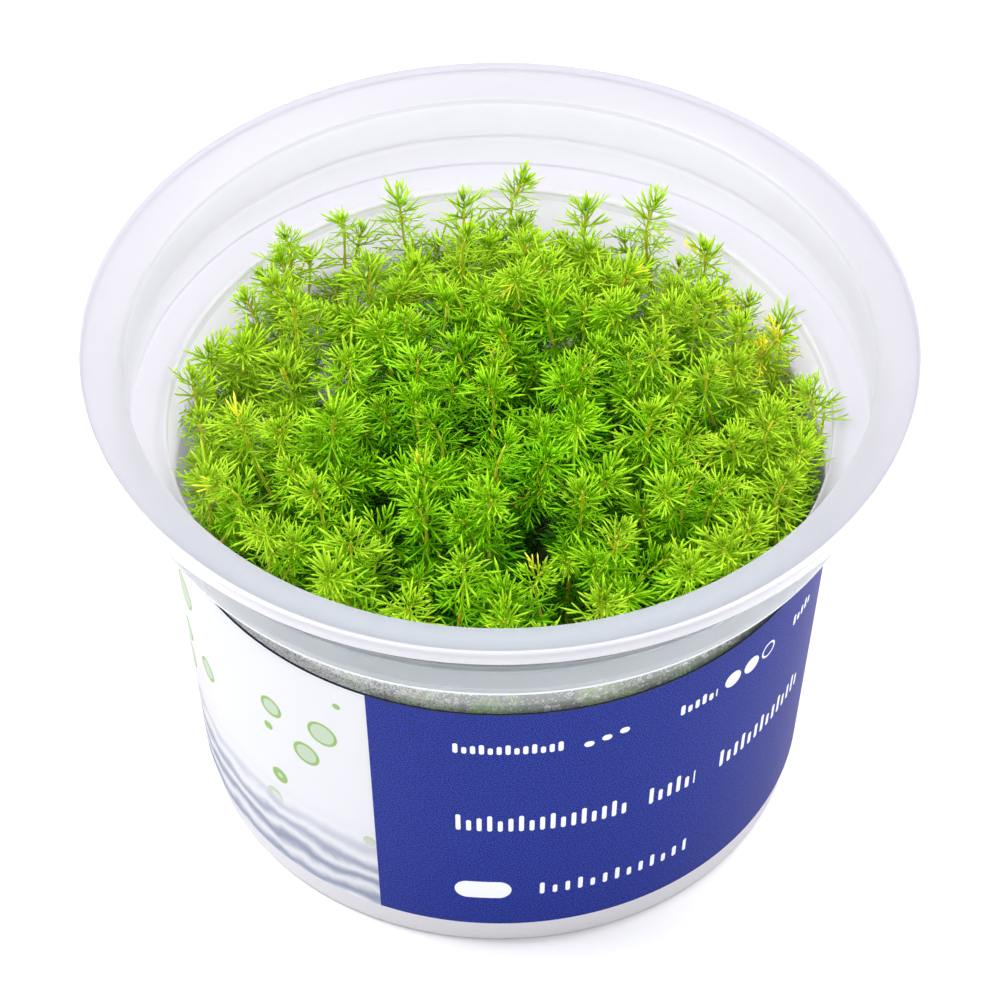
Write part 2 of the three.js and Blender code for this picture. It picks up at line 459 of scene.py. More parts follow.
@dataclass(frozen=True)
class Polypropylene:
    """Injection moulded polypropylene, thin and unpigmented.

    Its crystals scatter light, which gives the milky, faintly violet haze. The drawn-out
    body wall is the clearest part, and the thick lip and shoulder edge are the whitest.
    The near side is wet inside and seen through, while the far side shows its milky inner
    face, so the finish changes from front to back as well as with height. Front and back
    also carry their own painted light and shade: the front is dimmer and bluer, and the
    back is lifted where the cup shades its own inside.
    """

    back_colour: str = "#FBFAFF"
    front_colour: str = "#F2F6FC"
    body_colour: str = "#F5F3F7"
    edge_colour: str = "#EDECF3"
    edge_radius: float = 49.3 * MM
    # Painted light on the outer lip at the back.
    back_lip_painted_light: float = 0.69
    edge_share: float = 0.25
    # Painted shade: in front the lip dims towards its top, over its highlight.
    lip_top: tuple[float, float] = (65.1 * MM, 65.8 * MM)
    lip_painted_shade: tuple[float, float] = (1.03, 0.8)
    top: float = 70.0 * MM
    rim_reach: tuple[float, float] = (-48.0 * MM, -14.0 * MM)
    body_reach: tuple[float, float] = (-20.0 * MM, -4.0 * MM)
    body_top: float = 53.2 * MM
    ior: float = 1.49
    # Each zone's shade in front is painted light and shade.
    front: tuple[PlasticZone, ...] = (
        PlasticZone(0.0, 0.2, 0.3, 0.1, 0.82),
        PlasticZone(30.0 * MM, 0.15, 0.3, 0.45, 0.98),
        PlasticZone(44.2 * MM, 0.85, 0.04, 0.05, 0.9),
        # The shoulder edge is milky white: thick plastic, and also a painted highlight along it.
        PlasticZone(53.25 * MM, 0.1, 0.2, 0.05, 0.75),
        PlasticZone(53.75 * MM, 0.93, 0.1, 0.24, 0.69),
        # Painted shadow: the recess under the lip is darkened in front.
        PlasticZone(57.85 * MM, 0.93, 0.15, 0.0, 0.25),
        PlasticZone(59.3 * MM, 0.93, 0.3, 0.35, 0.74),
        PlasticZone(63.5 * MM, 0.82, 0.34, 0.5, 0.725),
    )
    # Each zone's shade at the back is painted light, which brightens the inner wall where the cup
    # shades it.
    back: tuple[PlasticZone, ...] = (
        PlasticZone(0.0, 0.2, 0.3, 0.5, 0.85),
        # Painted shade: the lower back wall, under the dense leaves, is darkened.
        PlasticZone(4.4 * MM, 0.2, 0.3, 0.3, 0.3),
        PlasticZone(26.0 * MM, 0.12, 0.3, 0.5, 0.95),
        PlasticZone(44.2 * MM, 0.35, 0.25, 0.6, 0.95),
        PlasticZone(52.4 * MM, 0.35, 0.25, 0.55, 0.84),
        PlasticZone(53.25 * MM, 0.1, 0.2, 0.3, 0.79),
        PlasticZone(53.75 * MM, 0.86, 0.4, 0.38, 0.728),
        PlasticZone(57.6 * MM, 0.86, 0.4, 0.45, 0.785),
        PlasticZone(63.5 * MM, 0.82, 0.34, 0.5, 0.673),
    )

    def zone_ramp(
        self, add: NodeAdder, height: NodeInput, zones: Sequence[PlasticZone]
    ) -> bpy.types.Node:
        """Adds a ramp that holds each zone's finish as its colour and its shade as its alpha.

        Args:
            add: Adds a node to the material.
            height: The height above the floor.
            zones: The zones from the foot up.

        Returns:
            The ramp.
        """
        ramp = add("ValToRGB", add("Math", height, self.top, operation="DIVIDE"))
        ramp.color_ramp.interpolation = "CONSTANT"
        set_stops(ramp, [
            (zone.start / self.top, (zone.clearness, zone.roughness, zone.milk, zone.shade))
            for zone in zones
        ])
        return ramp

    def build(self) -> bpy.types.Material:
        """Returns the material."""
        material, add = blank_material("polypropylene_moulded")
        across, along, height = add("SeparateXYZ", add("TexCoord").outputs["Object"]).outputs
        # Behind is 0 in front and 1 at the back; the two sides get their own finish and their own
        # painted light and shade.
        on_rim, on_body = (
            add("MapRange", along, *reach, interpolation_type="SMOOTHSTEP")
            for reach in (self.rim_reach, self.body_reach)
        )
        low = add("Math", height, self.body_top, operation="LESS_THAN")
        behind = add("Mix", low, on_rim, on_body)
        front, back = (self.zone_ramp(add, height, zones) for zones in (self.front, self.back))
        finish = add("Mix", behind, front, back, data_type="RGBA")
        clearness, rough, milk = add("SeparateColor", finish).outputs
        radius = add("VectorMath", add("CombineXYZ", across, along), operation="LENGTH")
        inner = add("Math", radius, self.edge_radius, operation="LESS_THAN")
        colour = add(
            "Mix", behind, linear(self.front_colour), linear(self.back_colour),
            data_type="RGBA",
        )
        colour = add("Mix", low, colour, linear(self.body_colour), data_type="RGBA")
        colour = add("Mix", inner, linear(self.edge_colour), colour, data_type="RGBA")
        # Painted light and shade: each zone's shade, in front and at the back.
        shade = add("Mix", behind, front.outputs["Alpha"], back.outputs["Alpha"])
        # Painted light and shade on the lip: dimmed towards its top in front, lifted at the back.
        soft = add("MapRange", height, *self.lip_top, *self.lip_painted_shade)
        lip = add("Mix", behind, soft, 1.0 + self.back_lip_painted_light)
        lift = add("Mix", inner, lip, 1.0)
        shade = add("Math", shade, lift, operation="MULTIPLY")
        colour = add("VectorMath", colour, shade, operation="SCALE")
        share = add("Mix", inner, self.edge_share, 1.0)
        shell = add("BsdfPrincipled", named={
            "Base Color": colour,
            "Roughness": rough,
            "IOR": self.ior,
            "Transmission Weight": add("Math", clearness, share, operation="MULTIPLY"),
        })
        glow = add("BsdfTranslucent", colour)
        milky = add("Math", milk, share, operation="MULTIPLY")
        add("OutputMaterial", add("MixShader", milky, shell, glow))
        return material


@dataclass(frozen=True)
class CultureCup:
    """The moulded cup: base, tapered body, shoulder, upright collar and rim flange."""

    wall: float = 0.8 * MM
    base_lift: float = 0.8 * MM
    foot_inner: float = 33.0 * MM
    base_radius: float = 35.9 * MM
    taper: float = 0.083
    shoulder_height: float = 53.3 * MM
    collar_foot: float = 44.6 * MM
    collar_head: float = 45.2 * MM
    collar_height: float = 4.5 * MM
    bead: float = 0.4 * MM
    rim_radius: float = 50.0 * MM
    rim_height: float = 66.2 * MM
    lip_depth: float = 1.9 * MM
    crease_radius: float = 44.3 * MM
    crease_height: float = 64.4 * MM
    steps: int = 192

    def body_radius(self, height: float) -> float:
        """Returns the outer radius of the tapered body at a height."""
        return self.base_radius + self.taper * height

    def inner_radius(self, height: np.ndarray) -> np.ndarray:
        """Finds the room inside the cup.

        Args:
            height: Heights above the floor.

        Returns:
            The inner radius at each height, with the ledge over the shoulder.
        """
        body = self.base_radius + self.taper * height - self.wall
        ledge = self.shoulder_height + self.wall
        over = np.clip((height - ledge) / MM, 0.0, 1.0)
        return body + (self.collar_foot - self.wall - body) * over

    def outline(self) -> list[Vector]:
        """Returns the cup's whole outline, from the axis outside to the axis inside."""
        shoulder = self.body_radius(self.shoulder_height)
        collar_top = self.shoulder_height + self.collar_height
        neck = self.collar_head - self.bead
        lip_foot = self.rim_height - self.lip_depth
        ledge = self.shoulder_height + self.wall
        inside = self.rim_radius - self.wall
        floor = self.base_lift + self.wall
        return round_outline([
            Corner(0.0, self.base_lift),
            Corner(self.foot_inner - self.base_lift, self.base_lift, 0.5 * MM),
            Corner(self.foot_inner, 0.0, 0.25 * MM),
            Corner(self.base_radius, 0.0, 0.9 * MM),
            Corner(shoulder, self.shoulder_height, 1.4 * MM),
            Corner(self.collar_foot, self.shoulder_height, 0.4 * MM),
            Corner(self.collar_head, collar_top, 0.2 * MM),
            Corner(neck, collar_top + self.bead, 0.2 * MM),
            Corner(neck, self.crease_height - self.wall, 0.5 * MM),
            Corner(inside, self.rim_height - self.wall - self.bead, 0.3 * MM),
            Corner(inside, lip_foot, 0.12 * MM),
            Corner(self.rim_radius, lip_foot, 0.25 * MM),
            Corner(self.rim_radius, self.rim_height, 0.45 * MM),
            Corner(self.crease_radius, self.crease_height, 0.25 * MM),
            Corner(self.collar_foot - self.wall, ledge, 0.3 * MM),
            Corner(shoulder - self.wall, ledge, 0.6 * MM),
            Corner(self.body_radius(floor) - self.wall, floor, 1.8 * MM),
            Corner(0.0, floor),
        ])

    def build(self, material: bpy.types.Material) -> None:
        """Builds the cup and puts it in the cup node's place.

        Args:
            material: The cup's plastic.
        """
        bm = turn_outline(self.outline(), closed=False, steps=self.steps)
        hand_over(show_piece(bm, "moulded_cup", material), Slot.CUP, "cup")


@dataclass(frozen=True)
class Bar:
    """A printed bar with round ends, in arc length from the front and height.

    With a pitch, the bar is cut up into a row of upright strokes of that spacing.
    """

    start: float
    end: float
    height: float
    thickness: float
    pitch: float = 0.0


@dataclass(frozen=True)
class Dot:
    """A printed dot, or a ring if it has a hole."""

    place: float
    height: float
    radius: float
    hole: float = 0.0


@dataclass(frozen=True)
class PrintedCard:
    """Coated card with offset print: a deep blue panel beside a white one.

    The print's screen gives the blue a fine speckle, and the coating gives a soft sheen.
    The white panel carries plain round blades and ripples in pale greens and greys.
    The screen and the grain are both drawn coarser than the real ones, so that they show.
    A dark line along the top edge in front is a painted shadow, where the card stands off
    the cup.
    """

    blue: str = "#08237C"
    white: str = "#F3F4F7"
    ink: str = "#E0E2EA"
    blade: str = "#8FC24A"
    ripple: str = "#7E8CAC"
    core: str = "#F7F7F8"
    roughness: float = 0.55
    specular: float = 0.15
    sheen: float = 0.06
    sheen_roughness: float = 0.4
    sheen_tint: str = "#FFD8CC"
    screen: float = 0.42 * MM
    screen_turn: float = math.radians(30.0)
    screen_depth: float = 0.55
    grain: float = 0.2 * MM
    grain_map: tuple[float, ...] = (0.38, 0.62, 0.25, 1.75)
    bump: float = 0.15
    bump_height: float = 0.02 * MM
    # A painted shadow: a dark line along the card's top edge, in front only.
    edge_shadow: str = "#2A2E40"
    edge_shadow_height: float = 45.22 * MM
    edge_shadow_reach: float = 58.0 * MM
    stroke: float = 0.58 * MM
    stroke_step: float = 0.16
    blade_cell: float = 6.5 * MM
    blade_stray: float = 0.7
    blade_sizes: tuple[float, float] = (0.16, 0.42)
    blade_fade: tuple[float, ...] = (-0.02, 0.03, 0.0, 0.45)
    blade_rim: float = 0.03
    blades_above: tuple[float, ...] = (14 * MM, 20 * MM, 0.0, 0.85)
    ripple_pitch: float = 3.4 * MM
    ripple_sway: float = 9.0
    ripple_wash: float = 7.0 * MM
    ripples_below: tuple[float, ...] = (20 * MM, 9 * MM, 0.0, 0.75)
    fibre: float = 0.8 * MM
    fibre_shade: tuple[float, float] = (0.93, 1.03)
    core_roughness: float = 0.85
    through_blue: float = 0.07
    through_white: float = 0.47
    through_core: float = 0.85
    panel_start: float = -15.4 * MM
    panel_end: float = 80.0 * MM
    bars: tuple[Bar, ...] = (
        Bar(-5.6 * MM, 7.6 * MM, 38.7 * MM, 1.8 * MM, 1.0 * MM),
        Bar(9.6 * MM, 10.8 * MM, 38.2 * MM, 1.0 * MM),
        Bar(11.7 * MM, 12.9 * MM, 38.7 * MM, 1.0 * MM),
        Bar(13.8 * MM, 15.0 * MM, 39.2 * MM, 1.0 * MM),
        Bar(21.4 * MM, 26.8 * MM, 38.7 * MM, 1.8 * MM, 1.0 * MM),
        Bar(40.8 * MM, 45.6 * MM, 38.7 * MM, 1.8 * MM, 1.0 * MM),
        Bar(-5.6 * MM, 15.6 * MM, 24.4 * MM, 3.0 * MM, 1.25 * MM),
        Bar(18.0 * MM, 24.8 * MM, 24.4 * MM, 3.0 * MM, 1.25 * MM),
        Bar(28.4 * MM, 45.6 * MM, 24.4 * MM, 3.0 * MM, 1.25 * MM),
        Bar(-5.6 * MM, 1.4 * MM, 11.2 * MM, 3.2 * MM),
        Bar(4.4 * MM, 24.6 * MM, 11.2 * MM, 2.2 * MM, 1.6 * MM),
    )
    dots: tuple[Dot, ...] = (
        Dot(29.2 * MM, 39.1 * MM, 1.25 * MM),
        Dot(32.3 * MM, 39.1 * MM, 1.25 * MM),
        Dot(35.4 * MM, 39.1 * MM, 1.25 * MM, 0.95 * MM),
    )

    def bar_mask(self, add: NodeAdder, place: NodeInput, bar: Bar) -> bpy.types.Node:
        """Draws a bar as the points within half its thickness of its middle line.

        Args:
            add: Adds a node to the card.
            place: The surface coordinate, as arc length and height.
            bar: The bar to draw.

        Returns:
            A node that gives 1 on the bar.
        """
        if bar.pitch:
            return self.stroke_mask(add, place, bar)
        half = bar.thickness / 2
        along = add("SeparateXYZ", place).outputs[0]
        nearest = add("Clamp", along, bar.start + half, bar.end - half)
        spine = add("CombineXYZ", nearest, bar.height)
        away = add("VectorMath", place, spine, operation="DISTANCE")
        return add("Math", away, half, operation="LESS_THAN")

    def stroke_mask(self, add: NodeAdder, place: NodeInput, bar: Bar) -> bpy.types.Node:
        """Draws a row of upright round-ended strokes of three heights.

        Args:
            add: Adds a node to the card.
            place: The surface coordinate, as arc length and height.
            bar: The bar that holds the row.

        Returns:
            A node that gives 1 on the strokes.
        """
        half = self.stroke / 2
        along, height, _ = add("SeparateXYZ", place).outputs
        shifted = add("Math", along, bar.start, operation="SUBTRACT")
        share = add("Math", shifted, bar.pitch, operation="DIVIDE")
        number = add("Math", share, operation="FLOOR")
        first = bar.start + bar.pitch / 2
        middle = add("Math", number, bar.pitch, first, operation="MULTIPLY_ADD")
        aside = add("Math", along, middle, operation="SUBTRACT")
        twice = add("Math", number, 2.0, operation="MULTIPLY")
        third = add("Math", twice, 3.0, 0.0, operation="WRAP")
        cut = add("Math", third, bar.thickness * self.stroke_step, operation="MULTIPLY")
        foot = bar.height - bar.thickness / 2 + half
        top = bar.height + bar.thickness / 2 - half
        head = add("Math", top, cut, operation="SUBTRACT")
        nearest = add("Clamp", height, foot, head)
        beyond = add("Math", height, nearest, operation="SUBTRACT")
        away = add("VectorMath", add("CombineXYZ", aside, beyond), operation="LENGTH")
        middle, reach = (bar.start + bar.end) / 2, (bar.end - bar.start) / 2
        inside = add("Math", along, middle, reach, operation="COMPARE")
        on_stroke = add("Math", away, half, operation="LESS_THAN")
        return add("Math", on_stroke, inside, operation="MULTIPLY")

    def dot_mask(self, add: NodeAdder, place: NodeInput, dot: Dot) -> bpy.types.Node:
        """Draws a dot or a ring.

        Args:
            add: Adds a node to the card.
            place: The surface coordinate, as arc length and height.
            dot: The dot to draw.

        Returns:
            A node that gives 1 on the dot.
        """
        centre = (dot.place, dot.height, 0.0)
        away = add("VectorMath", place, centre, operation="DISTANCE")
        middle, reach = (dot.radius + dot.hole) / 2, (dot.radius - dot.hole) / 2
        return add("Math", away, middle, reach, operation="COMPARE")

    def white_panel(self, add: NodeAdder, place: NodeInput) -> bpy.types.Node:
        """Draws the pale panel: soft round blades above, and ripples below.

        Args:
            add: Adds a node to the card.
            place: The surface coordinate, as arc length and height.

        Returns:
            A node that gives the panel's colour.
        """
        height = add("SeparateXYZ", place).outputs[1]
        smooth = {"interpolation_type": "SMOOTHSTEP"}
        cells = add("TexVoronoi", named={
            "Vector": place, "Scale": 1 / self.blade_cell, "Randomness": self.blade_stray,
        })
        size = add("MapRange", cells.outputs["Color"], 0.0, 1.0, *self.blade_sizes)
        inside = add("Math", size, cells, operation="SUBTRACT")
        rim = add("Math", cells, size, self.blade_rim, operation="COMPARE")
        disc = add("MapRange", inside, *self.blade_fade, **smooth)
        disc = add("Math", disc, rim, operation="MAXIMUM")
        above = add("MapRange", height, *self.blades_above, **smooth)
        shown = add("Math", disc, above, operation="MULTIPLY")
        greens = add("Mix", shown, linear(self.white), linear(self.blade), data_type="RGBA")
        wash = add("TexNoise", named={
            "Vector": place, "Scale": 1 / self.ripple_wash, "Detail": 3.0,
        })
        swell = add("Math", wash, self.ripple_sway, operation="MULTIPLY")
        turns = math.tau / self.ripple_pitch
        phase = add("Math", height, turns, swell, operation="MULTIPLY_ADD")
        sine = add("Math", phase, operation="SINE")
        wave = add("Math", sine, 0.5, 0.5, operation="MULTIPLY_ADD")
        below = add("MapRange", height, *self.ripples_below, **smooth)
        shown = add("Math", wave, below, operation="MULTIPLY")
        return add("Mix", shown, greens, linear(self.ripple), data_type="RGBA")

    def halftone(self, add: NodeAdder, place: NodeInput) -> bpy.types.Node:
        """Draws the slanted dot screen of offset print.

        Args:
            add: Adds a node to the card.
            place: The surface coordinate, as arc length and height.

        Returns:
            A node that swings between -1 and 1.
        """
        turned = add(
            "VectorRotate", rotation_type="Z_AXIS",
            named={"Vector": place, "Angle": self.screen_turn},
        )
        turns = math.tau / self.screen
        waves = [
            add("Math", add("Math", part, turns, operation="MULTIPLY"), operation="SINE")
            for part in add("SeparateXYZ", turned).outputs[:2]
        ]
        return add("Math", *waves, operation="MULTIPLY")

    def build(self) -> bpy.types.Material:
        """Returns the printed face's material, which reads the sleeve's UV map in metres."""
        material, add = blank_material("coated_card_printed")
        place = add("UVMap", uv_map="UVMap")
        along, height, _ = add("SeparateXYZ", place).outputs
        speckle = add("TexNoise", named={
            "Vector": place, "Scale": 1 / self.grain, "Detail": 1.0,
        })
        grain = add("MapRange", speckle, *self.grain_map)
        screen = self.halftone(add, place)
        shade = add("Math", screen, self.screen_depth, grain, operation="MULTIPLY_ADD")
        blue = add("VectorMath", linear(self.blue)[:3], shade, operation="SCALE")
        middle = (self.panel_start + self.panel_end) / 2
        reach = (self.panel_end - self.panel_start) / 2
        on_blue = add("Math", along, middle, reach, operation="COMPARE")
        marks = [self.bar_mask(add, place, bar) for bar in self.bars]
        marks += [self.dot_mask(add, place, dot) for dot in self.dots]
        printed = marks[0]
        for mark in marks[1:]:
            printed = add("Math", printed, mark, operation="MAXIMUM")
        lettered = add("Mix", printed, blue, linear(self.ink), data_type="RGBA")
        panels = add("Mix", on_blue, self.white_panel(add, place), lettered, data_type="RGBA")
        # Painted shadow along the top edge in front, where the card stands off the cup.
        in_front = add("Math", along, 0.0, self.edge_shadow_reach, operation="COMPARE")
        on_top = add("Math", height, self.edge_shadow_height, operation="GREATER_THAN")
        in_edge_shadow = add("Math", on_top, in_front, operation="MULTIPLY")
        colour = add("Mix", in_edge_shadow, panels, linear(self.edge_shadow), data_type="RGBA")
        bump = add("Bump", named={
            "Strength": self.bump, "Distance": self.bump_height, "Height": speckle,
        })
        shader = add("BsdfPrincipled", named={
            "Base Color": colour,
            "Roughness": self.roughness,
            "Specular IOR Level": self.specular,
            "Sheen Weight": self.sheen,
            "Sheen Roughness": self.sheen_roughness,
            "Sheen Tint": linear(self.sheen_tint),
            "Normal": bump,
        })
        share = add("MapRange", on_blue, 0.0, 1.0, self.through_white, self.through_blue)
        self.let_light_through(add, shader, colour, share)
        return material

    def let_light_through(
        self, add: NodeAdder, surface: NodeInput, colour: NodeInput, share: NodeInput
    ) -> None:
        """Finishes a card material so that thin card glows a little when lit from behind.

        Args:
            add: Adds a node to the card.
            surface: The shader of the lit side.
            colour: The card's colour.
            share: How much of the light goes through.
        """
        glow = add("BsdfTranslucent", colour)
        add("OutputMaterial", add("MixShader", share, surface, glow))

    def build_core(self) -> bpy.types.Material:
        """Returns the bare card of the sleeve's inside and cut edges."""
        material, add = blank_material("uncoated_card")
        fibre = add("TexNoise", named={
            "Vector": add("TexCoord").outputs["Object"],
            "Scale": 1 / self.fibre,
            "Detail": 4.0,
        })
        shade = add("MapRange", fibre, 0.0, 1.0, *self.fibre_shade)
        colour = add("VectorMath", linear(self.core)[:3], shade, operation="SCALE")
        shader = add("BsdfPrincipled", named={
            "Base Color": colour, "Roughness": self.core_roughness,
        })
        self.let_light_through(add, shader, colour, self.through_core)
        return material


@dataclass(frozen=True)
class CardSleeve:
    """The printed card band, which follows the cup's taper."""

    cup: CultureCup
    gap: float = 0.3 * MM
    thickness: float = 0.25 * MM
    foot: float = 4.4 * MM
    head: float = 45.3 * MM
    print_radius: float = 38.5 * MM
    sharp_edge: float = math.radians(40)
    facing: float = 0.5
    steps: int = 192

    def outline(self) -> list[Vector]:
        """Returns the band's section, which closes on itself."""
        near_foot = self.cup.body_radius(self.foot) + self.gap
        near_head = self.cup.body_radius(self.head) + self.gap
        return [
            Vector((near_foot, self.foot)),
            Vector((near_foot + self.thickness, self.foot)),
            Vector((near_head + self.thickness, self.head)),
            Vector((near_head, self.head)),
        ]

    def lay_print(self, bm: bmesh.types.BMesh) -> None:
        """Unrolls the outer face on a UV map and gives the rest the bare card.

        Args:
            bm: The turned band.
        """
        layer = bm.loops.layers.uv.new("UVMap")
        for face in bm.faces:
            centre = face.calc_center_median()
            outward = Vector((centre.x, centre.y, 0.0)).normalized()
            printed = max(face.normal.dot(outward), face.normal.z) > self.facing
            face.material_index = 0 if printed else 1
            middle = math.atan2(centre.x, -centre.y)
            for loop in face.loops:
                angle = math.atan2(loop.vert.co.x, -loop.vert.co.y)
                angle += math.tau * round((middle - angle) / math.tau)
                loop[layer].uv = (angle * self.print_radius, loop.vert.co.z)

    def build(self, printed: bpy.types.Material, bare: bpy.types.Material) -> None:
        """Builds the sleeve and puts it in the sleeve node's place.

        Args:
            printed: The outer face's material.
            bare: The material of the inside and the cut edges.
        """
        bm = turn_outline(self.outline(), closed=True, steps=self.steps)
        bm.normal_update()
        self.lay_print(bm)
        piece = show_piece(bm, "card_sleeve", printed, bare)
        piece.data.set_sharp_from_angle(angle=self.sharp_edge)
        hand_over(piece, Slot.SLEEVE, "sleeve")


@dataclass(frozen=True)
class AgarGel:
    """Agar gel with plant food: clouded, faintly yellow, and wet on top, with its colour darkened as
    painted shade.
    """

    # Darker than clear agar: painted shade, as the gel lies deep under the leaves.
    colour: str = "#C2C8A0"
    clearness: tuple[float, float] = (0.2, 0.4)
    cloud: float = 5.0 * MM
    roughness: float = 0.25
    ior: float = 1.34

    def build(self) -> bpy.types.Material:
        """Returns the material."""
        material, add = blank_material("agar_gel")
        clouds = add("TexNoise", named={
            "Vector": add("TexCoord").outputs["Object"],
            "Scale": 1 / self.cloud,
            "Detail": 3.0,
        })
        shader = add("BsdfPrincipled", named={
            "Base Color": linear(self.colour),
            "Roughness": self.roughness,
            "IOR": self.ior,
            "Transmission Weight": add("MapRange", clouds, 0.0, 1.0, *self.clearness),
        })
        add("OutputMaterial", shader)
        return material


@dataclass(frozen=True)
class GelCake:
    """The low cake of gel, which creeps a little up the cup's wall."""

    cup: CultureCup
    gap: float = 0.3 * MM
    foot: float = 1.9 * MM
    top: float = 10.0 * MM
    creep: float = 0.6 * MM
    foot_fillet: float = 2.0 * MM
    edge_fillet: float = 0.1 * MM
    creep_fillet: float = 1.5 * MM
    steps: int = 96

    def edge(self, height: float) -> float:
        """Returns the cake's radius at a height."""
        return self.cup.body_radius(height) - self.cup.wall - self.gap

    def build(self, material: bpy.types.Material) -> None:
        """Builds the gel and puts it in the gel node's place.

        Args:
            material: The gel's material.
        """
        crest = self.top + self.creep
        outline = round_outline([
            Corner(0.0, self.foot),
            Corner(self.edge(self.foot), self.foot, self.foot_fillet),
            Corner(self.edge(crest), crest, self.edge_fillet),
            Corner(self.edge(self.top) - 2 * self.creep, self.top, self.creep_fillet),
            Corner(0.0, self.top),
        ])
        bm = turn_outline(outline, closed=False, steps=self.steps)
        hand_over(show_piece(bm, "gel_cake", material), Slot.GEL, "culture_gel")


@dataclass(frozen=True)
class Template:
    """A leaf's shape as arrays, with how far along the leaf each point lies."""

    points: np.ndarray
    faces: np.ndarray
    reach: np.ndarray


@dataclass(frozen=True)
class LeafForm:
    """A comb-shaped leaf: a rib with pairs of narrow pointed segments.

    Angle and lift are in degrees, and the pairs stand at shares of the leaf's length.
    """

    length: float
    pairs: int
    segment: float
    angle: float
    width: float
    tip_width: float = 1.15
    flatness: float = 0.5
    lift: float = 14.0
    first_pair: float = 0.15
    last_pair: float = 0.46
    stagger: float = 0.045
    spread: tuple[float, float] = (1.1, 0.25)
    shortening: float = 0.4
    curl: float = 0.2
    shares: tuple[float, ...] = (0.0, 0.78, 1.0)
    girths: tuple[float, ...] = (0.75, 1.0, 0.0)
    sides: int = 3

    def add_segment(
        self, bm: bmesh.types.BMesh, base: Vector, heading: Vector, length: float, width: float
    ) -> None:
        """Adds one narrow pointed blade.

        Args:
            bm: The leaf's bmesh.
            base: The blade's foot.
            heading: The blade's direction, one unit long.
            length: The blade's length.
            width: The blade's greatest width.
        """
        across = Vector((-heading.y, heading.x, 0.0)).normalized()
        above = heading.cross(across)
        frame = Matrix((across, above * self.flatness, heading)).transposed().to_4x4()
        ring = bmesh.ops.create_circle(
            bm, cap_ends=True, segments=self.sides, radius=width / 2,
            matrix=Matrix.Translation(base) @ frame,
        )["verts"]
        turn = (Vector((1.0, 0.0, 0.0)) - heading) * self.curl
        path = [base + (heading + turn * share) * length * share for share in self.shares]
        draw_out(bm, ring, path, self.girths)

    def template(self) -> Template:
        """Returns the leaf's shape, with its stalk at the origin and its tip along X."""
        bm = bmesh.new()
        stalk, ahead = Vector((0, 0, 0)), Vector((1, 0, 0))
        self.add_segment(bm, stalk, ahead, self.length, self.tip_width * self.width)
        lift = math.radians(self.lift)
        widest, closing = self.spread
        for pair in range(self.pairs):
            share = pair / max(self.pairs - 1, 1)
            along = self.first_pair + (self.last_pair - self.first_pair) * share
            turn = math.radians(self.angle * (widest - closing * share))
            length = self.segment * (1.0 - self.shortening * share)
            for side in (-1, 1):
                heading = Vector((
                    math.cos(turn) * math.cos(lift),
                    side * math.sin(turn) * math.cos(lift),
                    math.sin(lift),
                ))
                base = Vector(((along + self.stagger * side) * self.length, 0, 0))
                self.add_segment(bm, base, heading, length, self.width)
        bmesh.ops.recalc_face_normals(bm, faces=bm.faces[:])
        points, faces = to_arrays(bm)
        reach = np.clip(points[:, 0] / self.length, 0.0, 1.0)
        return Template(points, faces, reach)


def to_arrays(bm: bmesh.types.BMesh) -> tuple[np.ndarray, np.ndarray]:
    """Reads a bmesh as arrays of points and triangles, and frees it.

    Args:
        bm: The bmesh to read.

    Returns:
        The points, and three point numbers to a triangle.
    """
    bmesh.ops.triangulate(bm, faces=bm.faces[:])
    bm.verts.index_update()
    points = np.array([vert.co[:] for vert in bm.verts])
    faces = np.array([[vert.index for vert in face.verts] for face in bm.faces])
    bm.free()
    return points, faces


@dataclass
class Foliage:
    """Growing arrays of points, triangles and shades that become one mesh."""

    points: list[np.ndarray] = field(default_factory=list)
    faces: list[np.ndarray] = field(default_factory=list)
    shades: list[np.ndarray] = field(default_factory=list)
    slots: list[np.ndarray] = field(default_factory=list)
    count: int = 0

    def add(self, points: np.ndarray, faces: np.ndarray, shades: np.ndarray, slot: int) -> None:
        """Adds one or more copies of a shape.

        Args:
            points: The points of each copy, one block to a copy.
            faces: Point numbers within a copy, three to a triangle.
            shades: Two shade values to every point, which become its UV.
            slot: The material's index.
        """
        copies, size = points.shape[:2]
        starts = self.count + np.arange(copies) * size
        self.points.append(points.reshape(-1, 3))
        self.faces.append((faces[None] + starts[:, None, None]).reshape(-1, 3))
        self.shades.append(shades.reshape(-1, 2))
        self.slots.append(np.full(copies * len(faces), slot))
        self.count += copies * size

    def build(self, name: str, *materials: bpy.types.Material) -> bpy.types.Object:
        """Makes one smooth-shaded object of all that was added.

        Args:
            name: The piece's name.
            materials: The materials by index.

        Returns:
            The new object.
        """
        points, faces = np.concatenate(self.points), np.concatenate(self.faces)
        mesh = bpy.data.meshes.new(name)
        mesh.vertices.add(len(points))
        mesh.vertices.foreach_set("co", points.astype(np.float32).ravel())
        mesh.loops.add(faces.size)
        mesh.loops.foreach_set("vertex_index", faces.astype(np.int32).ravel())
        mesh.polygons.add(len(faces))
        mesh.polygons.foreach_set("loop_start", np.arange(0, faces.size, 3, dtype=np.int32))
        mesh.polygons.foreach_set("material_index", np.concatenate(self.slots).astype(np.int32))
        layer = mesh.uv_layers.new(name="UVMap")
        shades = np.concatenate(self.shades)[faces.ravel()]
        layer.uv.foreach_set("vector", shades.astype(np.float32).ravel())
        mesh.update(calc_edges=True)
        return show_mesh(mesh, materials)


